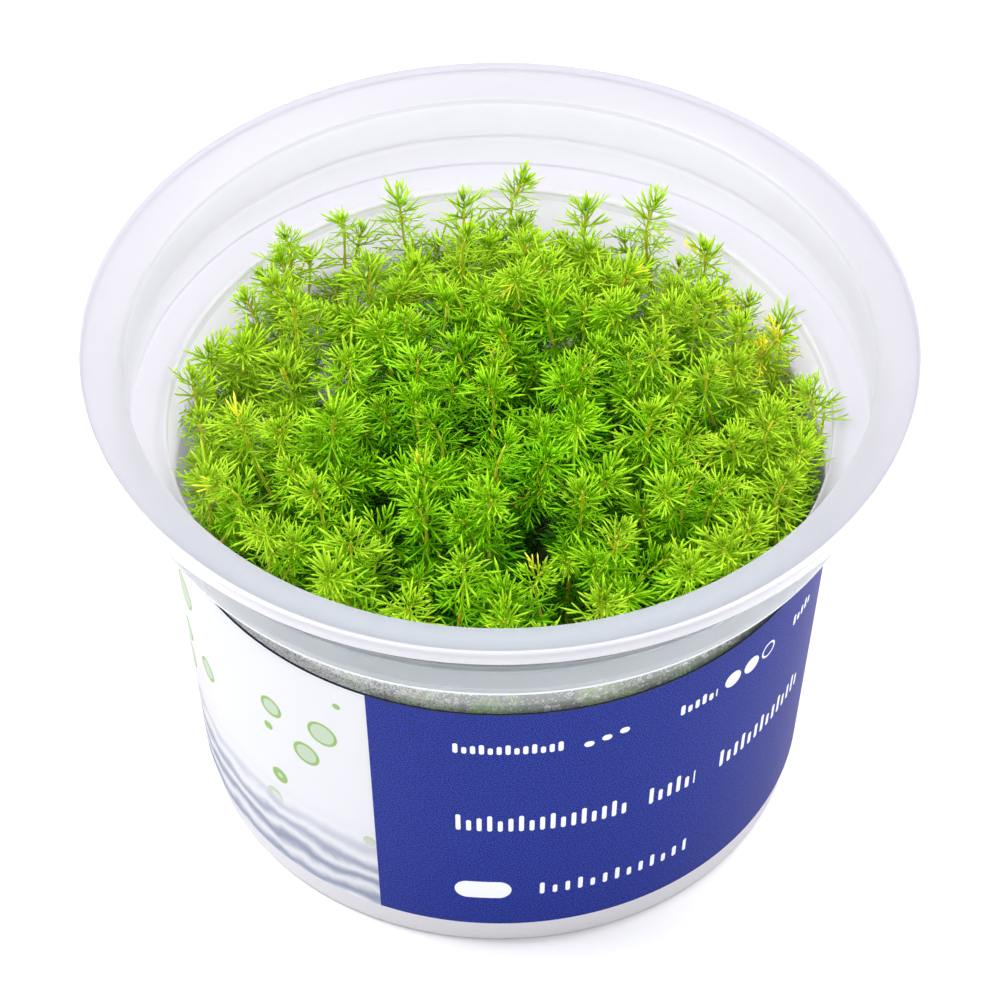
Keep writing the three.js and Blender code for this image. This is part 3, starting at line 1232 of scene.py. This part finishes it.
@dataclass(frozen=True)
class StemLine:
    """A stem's middle line, as closely spaced points from its foot to its tip."""

    points: np.ndarray

    @property
    def lengths(self) -> np.ndarray:
        """Returns how far along the line each point lies."""
        steps = np.linalg.norm(np.diff(self.points, axis=0), axis=1)
        return np.concatenate([[0.0], np.cumsum(steps)])

    @property
    def from_tip(self) -> np.ndarray:
        """Returns how far below the tip, along the line, each point lies."""
        return self.lengths[-1] - self.lengths

    @property
    def tip(self) -> np.ndarray:
        """Returns the line's upper end."""
        return self.points[-1]

    def place(self, from_tip: float) -> tuple[np.ndarray, np.ndarray]:
        """Finds a point and the line's direction there.

        Args:
            from_tip: The distance from the tip, down along the line.

        Returns:
            The point and the direction towards the tip.
        """
        lengths = self.lengths
        wanted = np.clip(lengths[-1] - from_tip, 0.0, lengths[-1])
        point = np.array([np.interp(wanted, lengths, self.points[:, i]) for i in range(3)])
        last = np.clip(np.searchsorted(lengths, wanted), 1, len(lengths) - 1)
        direction = self.points[last] - self.points[last - 1]
        return point, direction / np.linalg.norm(direction)


class LeafAge(IntEnum):
    """A leaf's stage, from the shoot's tip down. A comb leaf is a fuller young one."""

    BUD = 0
    YOUNG = 1
    COMB = 2
    GROWN = 3
    OLD = 4


class Dress(IntEnum):
    """The index of a leafy piece's two materials."""

    LEAF = 0
    STEM = 1


@dataclass(frozen=True)
class GrowthHabit:
    """How a shoot changes from its tip downwards, whorl by whorl.

    Spacing, rise, droop, size, crowd and tone have a value to a whorl, from the tip down,
    and their last value holds for all older whorls. A stray is the spread of a normal draw
    round such a value. Rise and droop are in degrees, and the other angles in radians, the
    least droop too. The comb share is the part of the young leaves that carry a second
    pair of segments, and the leaves are in the order of their ages.
    """

    leaves: tuple[LeafForm, ...] = (
        LeafForm(3.0 * MM, 1, 1.8 * MM, 20.0, 0.24 * MM),
        LeafForm(4.1 * MM, 1, 2.7 * MM, 28.0, 0.24 * MM),
        LeafForm(4.3 * MM, 2, 2.6 * MM, 34.0, 0.23 * MM),
        LeafForm(5.0 * MM, 2, 3.1 * MM, 38.0, 0.23 * MM),
        LeafForm(5.4 * MM, 3, 3.3 * MM, 43.0, 0.23 * MM),
    )
    bud_whorls: int = 1
    young_whorls: int = 3
    grown_depth: float = 14.0 * MM
    comb_share: float = 0.4
    spacing: tuple[float, ...] = (0.8, 1.3, 1.9, 2.3, 2.5, 2.6)
    rise: tuple[float, ...] = (64, 36, 17, 7, 2, -1, -4)
    droop: tuple[float, ...] = (0, -4, -4, 0, 5, 8, 10)
    size: tuple[float, ...] = (0.85, 1.0, 1.04, 1.0)
    crowd: tuple[int, ...] = (4, 5, 5, 5, 5, 4)
    # Tone falls with age from the tip, and towards the foot tone: the older leaves' own deeper green,
    # and painted shade deep in the cup.
    tone: tuple[float, ...] = (0.88, 0.85, 0.8, 0.74, 0.66, 0.57, 0.49, 0.41, 0.35)
    foot_tone_and_shade: float = 0.12
    first_whorl: float = 0.15 * MM
    pace: tuple[float, float] = (0.85, 1.25)
    vigour: tuple[float, float] = (0.82, 1.16)
    step_range: tuple[float, float] = (0.85, 1.15)
    size_range: tuple[float, float] = (0.6, 1.14)
    fresh_stray: float = 0.06
    whorl_stray: float = 0.15
    angle_stray: float = 0.26
    rise_stray: float = 13.0
    droop_stray: float = 6.0
    roll_stray: float = 0.25
    tone_stray: float = 0.05
    # Painted highlight: each leaf is lighter towards its tip.
    tip_painted_highlight: float = 0.1
    tone_limits: tuple[float, float] = (0.01, 0.99)
    least_droop: float = 0.01
    stem_radius: float = 0.23 * MM
    tip_radius: float = 0.15 * MM
    leaf_root: float = 0.6
    stem_sides: int = 6
    joint_length: float = 0.35 * MM
    joint_swell: float = 0.25
    young_length: float = 12.0 * MM
    wall_margin: float = 0.35 * MM
    wall_press: float = 0.9 * MM

    @staticmethod
    def pick(values: Sequence[float], whorl: int) -> float:
        """Returns a whorl's value, where the last one holds for all older whorls."""
        return values[min(whorl, len(values) - 1)]

    def age_of(self, whorl: int, depth: float) -> LeafAge:
        """Finds how old the leaves of a whorl are.

        Args:
            whorl: The whorl's number from the tip.
            depth: Its distance from the tip.

        Returns:
            The leaves' stage.
        """
        if whorl < self.bud_whorls:
            return LeafAge.BUD
        if whorl < self.young_whorls:
            return LeafAge.YOUNG
        return LeafAge.GROWN if depth < self.grown_depth else LeafAge.OLD


class ShootGrower:
    """Covers stem lines with leaves inside the cup's room."""

    def __init__(self, cup: CultureCup, habit: GrowthHabit) -> None:
        """Keeps the room and the habit, and shapes the leaf templates.

        Args:
            cup: The cup that the leaves stay inside.
            habit: How shoots change from tip to foot.
        """
        self.cup = cup
        self.habit = habit
        self.templates = [form.template() for form in habit.leaves]

    def keep_inside(self, points: np.ndarray) -> np.ndarray:
        """Presses leaf points that reach the cup's wall back against it.

        Args:
            points: The points to keep inside.

        Returns:
            The points, softly held within the inner radius at their height.
        """
        press = self.habit.wall_press
        radius = np.hypot(points[..., 0], points[..., 1])
        free = self.cup.inner_radius(points[..., 2]) - self.habit.wall_margin - press
        over = np.maximum(radius - free, 0.0)
        held = np.minimum(radius, free) + press * (1.0 - np.exp(-over / press))
        scale = held / np.maximum(radius, WELD)
        return points * np.stack([scale, scale, np.ones_like(scale)], axis=-1)

    def add_leaves(self, foliage: Foliage, template: Template, rows: np.ndarray) -> None:
        """Adds a batch of leaves of one form.

        Args:
            foliage: The arrays to add to.
            template: The leaves' shape.
            rows: One row to a leaf: origin, outward and upward directions, rise, droop,
                size, roll, tone and yellowing.
        """
        origin, outward, upward = (rows[:, None, i : i + 3] for i in (0, 3, 6))
        rise, droop, size, roll, tone, yellow = (rows[:, i, None] for i in range(9, 15))
        habit = self.habit
        sideways = np.cross(upward, outward)
        shape = template.points * size[:, :, None]
        along, across, above = shape[..., 0], shape[..., 1], shape[..., 2]
        rolled_across = across * np.cos(roll) - above * np.sin(roll)
        rolled_above = across * np.sin(roll) + above * np.cos(roll)
        span = template.points[:, 0].max() * size
        curve = np.where(np.abs(droop) < habit.least_droop, habit.least_droop, droop) / span
        pitch = rise - curve * along
        out = (np.sin(rise) - np.sin(pitch)) / curve - rolled_above * np.sin(pitch)
        rising = (np.cos(pitch) - np.cos(rise)) / curve + rolled_above * np.cos(pitch)
        points = (
            origin
            + out[..., None] * outward
            + rolled_across[..., None] * sideways
            + rising[..., None] * upward
        )
        # Painted highlight: the tone rises towards the leaf's tip.
        fresh = np.clip(tone + habit.tip_painted_highlight * (template.reach - 0.5), *habit.tone_limits)
        shades = np.stack([fresh, np.broadcast_to(yellow, fresh.shape)], axis=-1)
        foliage.add(self.keep_inside(points), template.faces, shades, Dress.LEAF)

    def add_stem(self, foliage: Foliage, line: StemLine, nodes: Sequence[float]) -> None:
        """Adds a thin round stem that swells a little where its leaves sit.

        Args:
            foliage: The arrays to add to.
            line: The stem's middle line.
            nodes: Each whorl's distance from the tip.
        """
        habit = self.habit
        from_tip = line.from_tip
        nearest = np.min(np.abs(from_tip[:, None] - np.array(nodes)[None]), axis=1)
        joint = np.exp(-((nearest / habit.joint_length) ** 2))
        young = np.clip(from_tip / habit.young_length, 0.0, 1.0)
        girth = habit.tip_radius + (habit.stem_radius - habit.tip_radius) * young
        girth = girth * (1.0 + habit.joint_swell * joint)
        girth[-1] = 0.0
        bm = bmesh.new()
        ring = bmesh.ops.create_circle(
            bm, cap_ends=True, segments=habit.stem_sides, radius=girth[0],
            matrix=Matrix.Translation(line.points[0]),
        )["verts"]
        draw_out(bm, ring, [Vector(point) for point in line.points], list(girth))
        bmesh.ops.recalc_face_normals(bm, faces=bm.faces[:])
        points, faces = to_arrays(bm)
        order = np.argsort(line.points[:, 2])
        heights = line.points[order, 2]
        shades = np.stack([
            np.interp(points[:, 2], heights, shade[order]) for shade in (joint, young)
        ], axis=1)
        foliage.add(points[None], faces, shades, Dress.STEM)

    def grow(
        self,
        foliage: Foliage,
        line: StemLine,
        rng: np.random.Generator,
        bare: float,
        yellowed_and_lit: "Yellowing",
    ) -> None:
        """Adds a stem and its whorls of leaves.

        Args:
            foliage: The arrays to add to.
            line: The stem's middle line.
            rng: The shoot's own random numbers.
            bare: The length at the foot that has no leaves.
            yellowed_and_lit: Where leaves have yellowed, and the painted light on leaves by place.
        """
        habit = self.habit
        total = line.lengths[-1]
        pace = rng.uniform(*habit.pace)
        vigour = rng.uniform(*habit.vigour)
        fresh = rng.normal(0.0, habit.fresh_stray)
        turn = rng.uniform(0.0, math.tau)
        depth, whorl = habit.first_whorl, 0
        nodes: list[float] = []
        batches: dict[LeafAge, list[np.ndarray]] = {}
        while depth < total - bare:
            nodes.append(depth)
            point, up = line.place(depth)
            side = np.cross(up, (0.0, 1.0, 0.0))
            side = side / np.linalg.norm(side)
            front = np.cross(side, up)
            crowd, rise, droop, size, tone, spacing = (
                habit.pick(values, whorl) for values in (
                    habit.crowd, habit.rise, habit.droop, habit.size, habit.tone, habit.spacing
                )
            )
            count = int(crowd) + int(rng.integers(0, 2))
            turn += math.pi / count + rng.normal(0.0, habit.whorl_stray)
            stage = habit.age_of(whorl, depth)
            share = np.clip(depth / total, 0.0, 1.0)
            for leaf in range(count):
                angle = turn + math.tau * leaf / count + rng.normal(0.0, habit.angle_stray)
                outward = math.cos(angle) * side + math.sin(angle) * front
                values = (
                    math.radians(rise + rng.normal(0.0, habit.rise_stray)),
                    math.radians(droop + rng.normal(0.0, habit.droop_stray)),
                    size * vigour * rng.uniform(*habit.size_range),
                    rng.normal(0.0, habit.roll_stray),
                    # Tone: the whorl's own, falling to the foot tone down the stem, plus painted
                    # light by place.
                    (tone + fresh + rng.normal(0.0, habit.tone_stray)) * (1.0 - share)
                    + habit.foot_tone_and_shade * share + yellowed_and_lit.painted_light(point),
                    yellowed_and_lit.at(point, rng),
                )
                fuller = stage == LeafAge.YOUNG and rng.random() < habit.comb_share
                origin = point + outward * habit.tip_radius * habit.leaf_root
                batches.setdefault(LeafAge.COMB if fuller else stage, []).append(
                    np.concatenate([origin, outward, up, values])
                )
            depth += spacing * MM * pace * rng.uniform(*habit.step_range)
            whorl += 1
        for stage, rows in sorted(batches.items()):
            self.add_leaves(foliage, self.templates[stage], np.array(rows))
        self.add_stem(foliage, line, nodes)


@dataclass(frozen=True)
class Yellowing:
    """The spots near the right-hand wall where leaves have turned yellow.

    It also paints light on leaves: the outer shoots are a little paler than those in the
    middle and in front, as painted light, and so are the leaves against the wall just below
    the shoulder, which are lit through the clear wall.
    """

    spots: tuple[tuple[float, float, float], ...] = (
        (29.3 * MM, 17.4 * MM, 54 * MM),
        (32.7 * MM, 11.7 * MM, 53 * MM),
        (35 * MM, 13 * MM, 50 * MM),
        (38 * MM, -5 * MM, 48 * MM),
    )
    radius: float = 4.0 * MM
    chance: float = 1.1
    stray: float = 0.006
    turned: tuple[float, float] = (0.6, 1.0)
    unturned: tuple[float, float] = (0.0, 0.3)
    # Painted light on leaves: outer and back shoots get a lighter tone.
    lit_from: float = 14.0 * MM
    lit_depth: float = 22.0 * MM
    most_painted_light: float = 0.6
    side_share: float = 0.86
    back_gain: float = 0.6
    front_share: float = 0.1
    # Painted light on leaves against the wall below the shoulder, lit through the clear wall.
    wall_from: float = 30.0 * MM
    wall_depth: float = 6.0 * MM
    window_top: float = 52.0 * MM
    window_blur: float = 2.0 * MM
    window_light: float = 0.5

    def at(self, point: np.ndarray, rng: np.random.Generator) -> float:
        """Finds how yellow a leaf is.

        Args:
            point: Where the leaf sits on its stem.
            rng: The shoot's own random numbers.

        Returns:
            A value from 0, green, to 1, yellow.
        """
        away = min(float(np.linalg.norm(point - np.array(spot))) for spot in self.spots)
        near = max(0.0, 1.0 - away / self.radius)
        draw = rng.random()
        if draw < near * self.chance or draw < self.stray:
            return rng.uniform(*self.turned)
        return rng.uniform(*self.unturned)

    def painted_light(self, point: np.ndarray) -> float:
        """Finds how much painted light brightens a leaf at the side, at the back or against the wall.

        Args:
            point: Where the leaf sits on its stem.

        Returns:
            What to add to the leaf's tone.
        """
        radius = math.hypot(point[0], point[1])
        outer = np.clip((radius - self.lit_from) / self.lit_depth, 0.0, 1.0)
        behind = self.side_share + self.back_gain * point[1] / max(radius, MM)
        by_wall = np.clip((radius - self.wall_from) / self.wall_depth, 0.0, 1.0)
        below = np.clip((self.window_top - point[2]) / self.window_blur, 0.0, 1.0)
        # Painted light, by place.
        pale = self.most_painted_light * outer * np.clip(behind, self.front_share, 1.0)
        return float(max(pale, self.window_light * by_wall * below))


@dataclass(frozen=True)
class LivingLeaf:
    """A living leaf: thin, satin, and bright where light comes through it.

    Young leaves at the tips are yellow-green, and older ones deepen to dark green. The
    deepest leaves are darker still as painted shade, and each leaf is lighter towards its
    tip as a painted highlight.
    """

    greens: tuple[tuple[float, str], ...] = (
        (0.0, "#3AA602"),
        (0.3, "#6AC404"),
        (0.55, "#93DD09"),
        (0.8, "#B1E916"),
        (1.0, "#CCEE36"),
    )
    yellow: str = "#FFFC50"
    yellow_map: tuple[float, float] = (0.35, 0.75)
    patch: float = 1.4 * MM
    patch_map: tuple[float, ...] = (0.3, 0.7, 0.82, 1.16)
    roughness: float = 0.38
    specular: float = 0.22
    through: float = 0.45

    def build(self) -> bpy.types.Material:
        """Returns the material, which reads a leaf's freshness and yellowing as its UV."""
        material, add = blank_material("living_leaf")
        fresh, faded, _ = add("SeparateXYZ", add("UVMap", uv_map="UVMap")).outputs
        ramp = add("ValToRGB", fresh)
        set_stops(ramp, [(place, linear(green)) for place, green in self.greens])
        faded = add("MapRange", faded, *self.yellow_map, interpolation_type="SMOOTHSTEP")
        colour = add("Mix", faded, ramp, linear(self.yellow), data_type="RGBA")
        patches = add("TexNoise", named={
            "Vector": add("TexCoord").outputs["Object"],
            "Scale": 1 / self.patch,
            "Detail": 2.0,
        })
        shade = add("MapRange", patches, *self.patch_map)
        colour = add("VectorMath", colour, shade, operation="SCALE")
        surface = add("BsdfPrincipled", named={
            "Base Color": colour,
            "Roughness": self.roughness,
            "Specular IOR Level": self.specular,
        })
        lit = add("BsdfTranslucent", colour)
        add("OutputMaterial", add("MixShader", self.through, surface, lit))
        return material


@dataclass(frozen=True)
class LivingStem:
    """A water plant's stem: smooth, yellow-green, and rusty where the leaves sit."""

    plain: str = "#DCD03E"
    joint: str = "#CC9C2A"
    young: str = "#BEDC30"
    rust: float = 0.7
    roughness: float = 0.38
    specular: float = 0.45

    def build(self) -> bpy.types.Material:
        """Returns the material, which reads the joints and the stem's age as its UV."""
        material, add = blank_material("living_stem")
        joints, age, _ = add("SeparateXYZ", add("UVMap", uv_map="UVMap")).outputs
        aged = add("Mix", age, linear(self.young), linear(self.plain), data_type="RGBA")
        rust = add("Math", joints, self.rust, operation="MULTIPLY")
        shader = add("BsdfPrincipled", named={
            "Base Color": add("Mix", rust, aged, linear(self.joint), data_type="RGBA"),
            "Roughness": self.roughness,
            "Specular IOR Level": self.specular,
        })
        add("OutputMaterial", shader)
        return material


@dataclass
class Planting:
    """All the shoots: those of the frame, and side shoots that fill the gaps between.

    A few bare stems stand among them, each bent through three points. Leans are in degrees.
    """

    cup: CultureCup
    nodes: dict[str, bpy.types.Object]
    gel_top: float = 10.0 * MM
    sunk: float = 1.5 * MM
    bud_length: float = 2.2 * MM
    ring_height: float = 0.02 * MM
    point_digits: int = 6
    level_digits: int = 5
    bend_degree: int = 3
    bare_foot: float = 3.0 * MM
    candidates: int = 4000
    side_shoots: int = 180
    stray: float = 0.9 * MM
    closest: float = 1.8 * MM
    back_pull: float = 0.4
    canopy_radius: float = 37.5 * MM
    canopy_height: float = 56.5 * MM
    canopy_range: tuple[float, float] = (-9.0, 1.5)
    back_from: float = 18.0 * MM
    back_depth: float = 14.0 * MM
    back_dip: float = 3.5 * MM
    fork_depth: float = 14.0 * MM
    fork_rise: float = 3.0 * MM
    fork_bend: tuple[float, float, float] = (0.7, 0.7, 0.1)
    fork_bare: float = 1.5 * MM
    line_steps: int = 48
    lean_length: float = 16.0 * MM
    lean_forward: float = 9.0
    lean_outward: float = 12.0
    lean_stray: float = 15.0
    bare_stems: tuple[tuple[tuple[float, float, float], ...], ...] = (
        ((33 * MM, 0, 44 * MM), (38.3 * MM, 0, 43.5 * MM), (38.6 * MM, 2 * MM, 53.5 * MM)),
        ((20.8 * MM, 7 * MM, 45 * MM), (20.3 * MM, 7 * MM, 53 * MM), (19.3 * MM, 10 * MM, 61 * MM)),
        ((-2 * MM, 18 * MM, 44 * MM), (-2.9 * MM, 18.5 * MM, 51 * MM), (-6.6 * MM, 19 * MM, 58 * MM)),
        ((6.4 * MM, 20 * MM, 46 * MM), (7.1 * MM, 20 * MM, 52 * MM), (8.4 * MM, 20.5 * MM, 57 * MM)),
    )
    bare_joints: tuple[float, ...] = (2.0 * MM, 4.5 * MM, 7.0 * MM, 9.5 * MM)
    seed: int = 7

    def shoot_names(self) -> list[str]:
        """Returns the names of the frame's shoots in order."""
        return sorted(name for name in self.nodes if name.startswith("shoot_"))

    def read_line(self, name: str) -> StemLine:
        """Finds a shoot's middle line from the rings of its column in the frame.

        Args:
            name: The shoot's node.

        Returns:
            The line from just inside the gel to the shoot's tip.
        """
        mesh = self.nodes[name].data
        points = np.empty(len(mesh.vertices) * 3)
        mesh.vertices.foreach_get("co", points)
        points = np.unique(points.reshape(-1, 3).round(self.point_digits), axis=0)
        levels = np.unique(points[:, 2].round(self.level_digits))
        middles = np.array([
            points[np.abs(points[:, 2] - level) < self.ring_height][:, :2].mean(0)
            for level in levels
        ])
        low, high = levels[0], levels[-1]
        climb = (levels - low) / (high - low)
        fit = np.polynomial.Polynomial.fit
        across, along = (fit(climb, middles[:, i], self.bend_degree) for i in (0, 1))
        foot = self.gel_top - self.sunk
        heights = np.linspace(foot, high - self.bud_length, self.line_steps)
        share = (heights - low) / (high - low)
        return StemLine(np.stack([across(share), along(share), heights], axis=1))

    def lean(self, line: StemLine, rng: np.random.Generator) -> StemLine:
        """Bends a stem's upper part so that its crown leans to the light.

        The crowns lean towards the front, most of all in front, and a little outwards.

        Args:
            line: The stem's middle line.
            rng: The shoot's own random numbers.

        Returns:
            The bent line, whose tip stays where it was.
        """
        across, back = line.tip[:2] / self.canopy_radius
        turn = np.array([self.lean_outward * across, -self.lean_forward * (1.0 - back)])
        turn = np.tan(np.radians(turn + rng.normal(0.0, self.lean_stray, 2)))
        share = np.clip(1.0 - line.from_tip / self.lean_length, 0.0, 1.0)
        points = line.points.copy()
        points[:, :2] -= (line.from_tip * share**2)[:, None] * turn
        return StemLine(points)

    def bend_through(self, points: Sequence[Sequence[float]]) -> StemLine:
        """Draws a smooth line from the first of three points to the last.

        Args:
            points: The start, the point that the line bends towards, and the end.

        Returns:
            The line.
        """
        start, middle, end = (np.array(point) for point in points)
        share = np.linspace(0.0, 1.0, self.line_steps // 2)[:, None]
        return StemLine(
            (1 - share) ** 2 * start + 2 * share * (1 - share) * middle + share**2 * end
        )

    def fork_line(self, host: StemLine, tip: np.ndarray) -> StemLine:
        """Draws a side shoot's line, which leaves its host and turns upwards.

        Args:
            host: The line that the side shoot grows from.
            tip: The side shoot's tip.

        Returns:
            The side shoot's line.
        """
        start, up = host.place(self.fork_depth)
        shoulder = start + up * self.fork_rise + (tip - start) * np.array(self.fork_bend)
        return self.bend_through((start, shoulder, tip))

    def fill_gaps(self, tips: np.ndarray, rng: np.random.Generator) -> list[np.ndarray]:
        """Chooses the side shoots' tips, each as far from all others as it can be.

        Args:
            tips: The frame shoots' tips.
            rng: The planting's random numbers.

        Returns:
            The new tips.
        """
        spread = rng.uniform(-1.0, 1.0, (self.candidates, 2))
        spread = spread[np.hypot(spread[:, 0], spread[:, 1]) < 1.0] * self.canopy_radius
        taken = [tip[:2] for tip in tips]
        chosen: list[np.ndarray] = []
        pull = 1.0 + self.back_pull * spread[:, 1] / self.canopy_radius
        for _ in range(self.side_shoots):
            gaps = np.linalg.norm(spread[:, None] - np.array(taken)[None], axis=2).min(axis=1)
            best = int(np.argmax(gaps * pull))
            if gaps[best] < self.closest:
                break
            taken.append(spread[best])
            far = np.clip((spread[best][1] - self.back_from) / self.back_depth, 0.0, 1.0)
            height = self.canopy_height + rng.uniform(*self.canopy_range) * MM
            strayed = spread[best] + rng.normal(0.0, self.stray, 2)
            strayed *= min(1.0, self.canopy_radius / float(np.linalg.norm(strayed)))
            chosen.append(np.append(strayed, height - self.back_dip * far))
        return chosen

    def build(self, leaf: bpy.types.Material, stem: bpy.types.Material) -> None:
        """Grows every shoot, each as one piece in its node's place.

        Args:
            leaf: The leaves' material.
            stem: The stems' material.
        """
        rng = np.random.default_rng(self.seed)
        grower = ShootGrower(self.cup, GrowthHabit())
        yellowed_and_lit = Yellowing()
        names = self.shoot_names()
        lines = [self.read_line(name) for name in names]
        tips = np.array([line.tip for line in lines])

        def host_of(point: Sequence[float]) -> int:
            """Returns the number of the frame shoot whose tip is nearest, seen from above."""
            return int(np.argmin(np.linalg.norm(tips[:, :2] - np.array(point[:2]), axis=1)))

        forks: dict[int, list[StemLine]] = {}
        for tip in self.fill_gaps(tips, rng):
            host = host_of(tip)
            forks.setdefault(host, []).append(self.fork_line(lines[host], tip))
        bare: dict[int, list[StemLine]] = {}
        for points in self.bare_stems:
            bare.setdefault(host_of(points[0]), []).append(self.bend_through(points))
        for number, (name, line) in enumerate(zip(names, lines, strict=True)):
            own = np.random.default_rng((self.seed, number))
            foliage = Foliage()
            grower.grow(foliage, self.lean(line, own), own, self.bare_foot, yellowed_and_lit)
            for fork in forks.get(number, []):
                grower.grow(foliage, self.lean(fork, own), own, self.fork_bare, yellowed_and_lit)
            for bare_line in bare.get(number, []):
                grower.add_stem(foliage, bare_line, self.bare_joints)
            hand_over(foliage.build(f"leafy_{name}", leaf, stem), Slot.LEAF, name)


@dataclass(frozen=True)
class Water:
    """Water in fine drops: the large ones clear with white edges that are a painted highlight, the
    finest a white fog.
    """

    ior: float = 1.333
    film: float = 2.0 * MM
    film_roughness: float = 0.08

    def build(self) -> bpy.types.Material:
        """Returns the material, which reads each drop's clearness as its UV."""
        material, add = blank_material("water_drops")
        clearness = add("SeparateXYZ", add("UVMap", uv_map="UVMap")).outputs[0]
        film = add("TexNoise", named={
            "Vector": add("TexCoord").outputs["Object"], "Scale": 1 / self.film,
        })
        shader = add("BsdfPrincipled", named={
            "Base Color": (1, 1, 1, 1),
            "Roughness": add("Math", film, self.film_roughness, operation="MULTIPLY"),
            "IOR": self.ior,
            "Transmission Weight": clearness,
        })
        add("OutputMaterial", shader)
        return material


@dataclass(frozen=True)
class DropForm:
    """A drop's outline of unit radius, flat on the wall's side, and its middle's clearness."""

    outline: tuple[tuple[float, float], ...]
    sides: int
    clearness: float


@dataclass(frozen=True)
class Condensation:
    """Fine drops of water on the inside of the cup's wall, above the sleeve.

    The front of the body is fogged, most of all on the left, where the fog's angles from
    the front are a triangular draw. The rest of the fog thins out to both sides. Most drops
    stand in clusters, and some are loose. The collar has a few drops too. Each drop is sunk
    into the wall by a share of its size, and clear up to its edge, which is white as a
    painted highlight.
    """

    cup: CultureCup
    fog_count: int = 5000
    drop_count: int = 620
    low: float = 44.5 * MM
    high: float = 53.0 * MM
    fog_size: float = 0.12 * MM
    fog_sizes: tuple[float, float] = (0.8, 1.3)
    fog_left: tuple[float, float, float] = (-1.1, -0.75, 0.0)
    fog_left_share: float = 0.78
    fog_spread: float = 0.62
    smallest: float = 0.17 * MM
    largest: float = 0.42 * MM
    collar_low: float = 54.5 * MM
    collar_high: float = 57.8 * MM
    collar_share: float = 0.15
    spread: float = math.radians(72.0)
    clusters: int = 22
    cluster_spread: float = 0.05
    loose_share: float = 0.35
    sunk: float = 0.2
    # Outside this share of a drop's radius it is white, a painted highlight on its rim.
    edge: float = 0.45
    speck: DropForm = DropForm(((0.0, -0.5), (1.0, 0.0), (0.0, 0.2)), 6, 0.1)
    drop: DropForm = DropForm(
        ((0.0, -0.6), (0.62, -0.46), (1.0, 0.0), (0.56, 0.1), (0.36, 0.13), (0.0, 0.15)),
        8, 0.95,
    )
    seed: int = 11

    def scatter(
        self,
        water: Foliage,
        form: DropForm,
        angle: np.ndarray,
        height: np.ndarray,
        size: np.ndarray,
    ) -> None:
        """Puts a drop of one shape on the wall at each place.

        Args:
            water: The arrays to add to.
            form: The drop's shape.
            angle: Each drop's angle round the cup, from the front.
            height: Each drop's height.
            size: Each drop's radius.
        """
        outline = [Vector(point) for point in form.outline]
        points, faces = to_arrays(turn_outline(outline, closed=False, steps=form.sides))
        angle = angle - math.pi / 2
        radius = self.cup.inner_radius(height) - self.sunk * size
        flat = np.zeros_like(angle)
        outward = np.stack([np.cos(angle), np.sin(angle), flat], axis=1)[:, None]
        sideways = np.stack([-np.sin(angle), np.cos(angle), flat], axis=1)[:, None]
        upward = np.array([0.0, 0.0, 1.0])
        shape = points * size[:, None, None]
        placed = (
            outward * (radius[:, None, None] + shape[..., 2:3])
            + sideways * shape[..., 0:1]
            + upward * (height[:, None, None] + shape[..., 1:2])
        )
        # The white edge is a painted highlight on each drop's rim.
        edge = np.hypot(points[:, 0], points[:, 1]) > self.edge
        clear = np.tile(np.where(edge, 0.0, form.clearness), len(angle))
        water.add(placed, faces, np.stack([clear, clear], axis=1), 0)

    def build(self, material: bpy.types.Material) -> None:
        """Builds all drops as one mesh.

        Args:
            material: The water's material.
        """
        rng = np.random.default_rng(self.seed)
        many, few = self.fog_count, self.drop_count
        left = rng.triangular(*self.fog_left, many)
        thin = rng.normal(0.0, self.fog_spread, many)
        fog = (
            np.where(rng.random(many) < self.fog_left_share, left, thin),
            rng.uniform(self.low, self.high, many),
            self.fog_size * rng.uniform(*self.fog_sizes, many),
        )
        near = rng.uniform(-1.0, 1.0, self.clusters) * self.spread
        cluster = rng.integers(0, self.clusters, few)
        angle = np.where(
            rng.random(few) < self.loose_share,
            rng.uniform(-1.0, 1.0, few) * self.spread,
            near[cluster] + rng.normal(0.0, self.cluster_spread, few),
        )
        height = np.where(
            rng.random(few) < self.collar_share,
            rng.uniform(self.collar_low, self.collar_high, few),
            rng.uniform(self.low, self.high, few),
        )
        share = rng.random(few) ** 2
        size = self.smallest + (self.largest - self.smallest) * share
        water = Foliage()
        self.scatter(water, self.speck, *fog)
        self.scatter(water, self.drop, angle, height, size)
        hand_over(water.build("condensation", material), Slot.CUP)


def main() -> None:
    """Loads the frame and builds the camera, the studio and every piece in turn."""
    logging.basicConfig(level=logging.INFO, format="%(name)s: %(message)s")
    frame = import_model()
    View().build()
    Studio().build()
    cup = CultureCup()
    cup.build(Polypropylene().build())
    card = PrintedCard()
    CardSleeve(cup).build(card.build(), card.build_core())
    GelCake(cup).build(AgarGel().build())
    Planting(cup, frame["nodes"]).build(LivingLeaf().build(), LivingStem().build())
    Condensation(cup).build(Water().build())


if __name__ == "__main__":
    main()
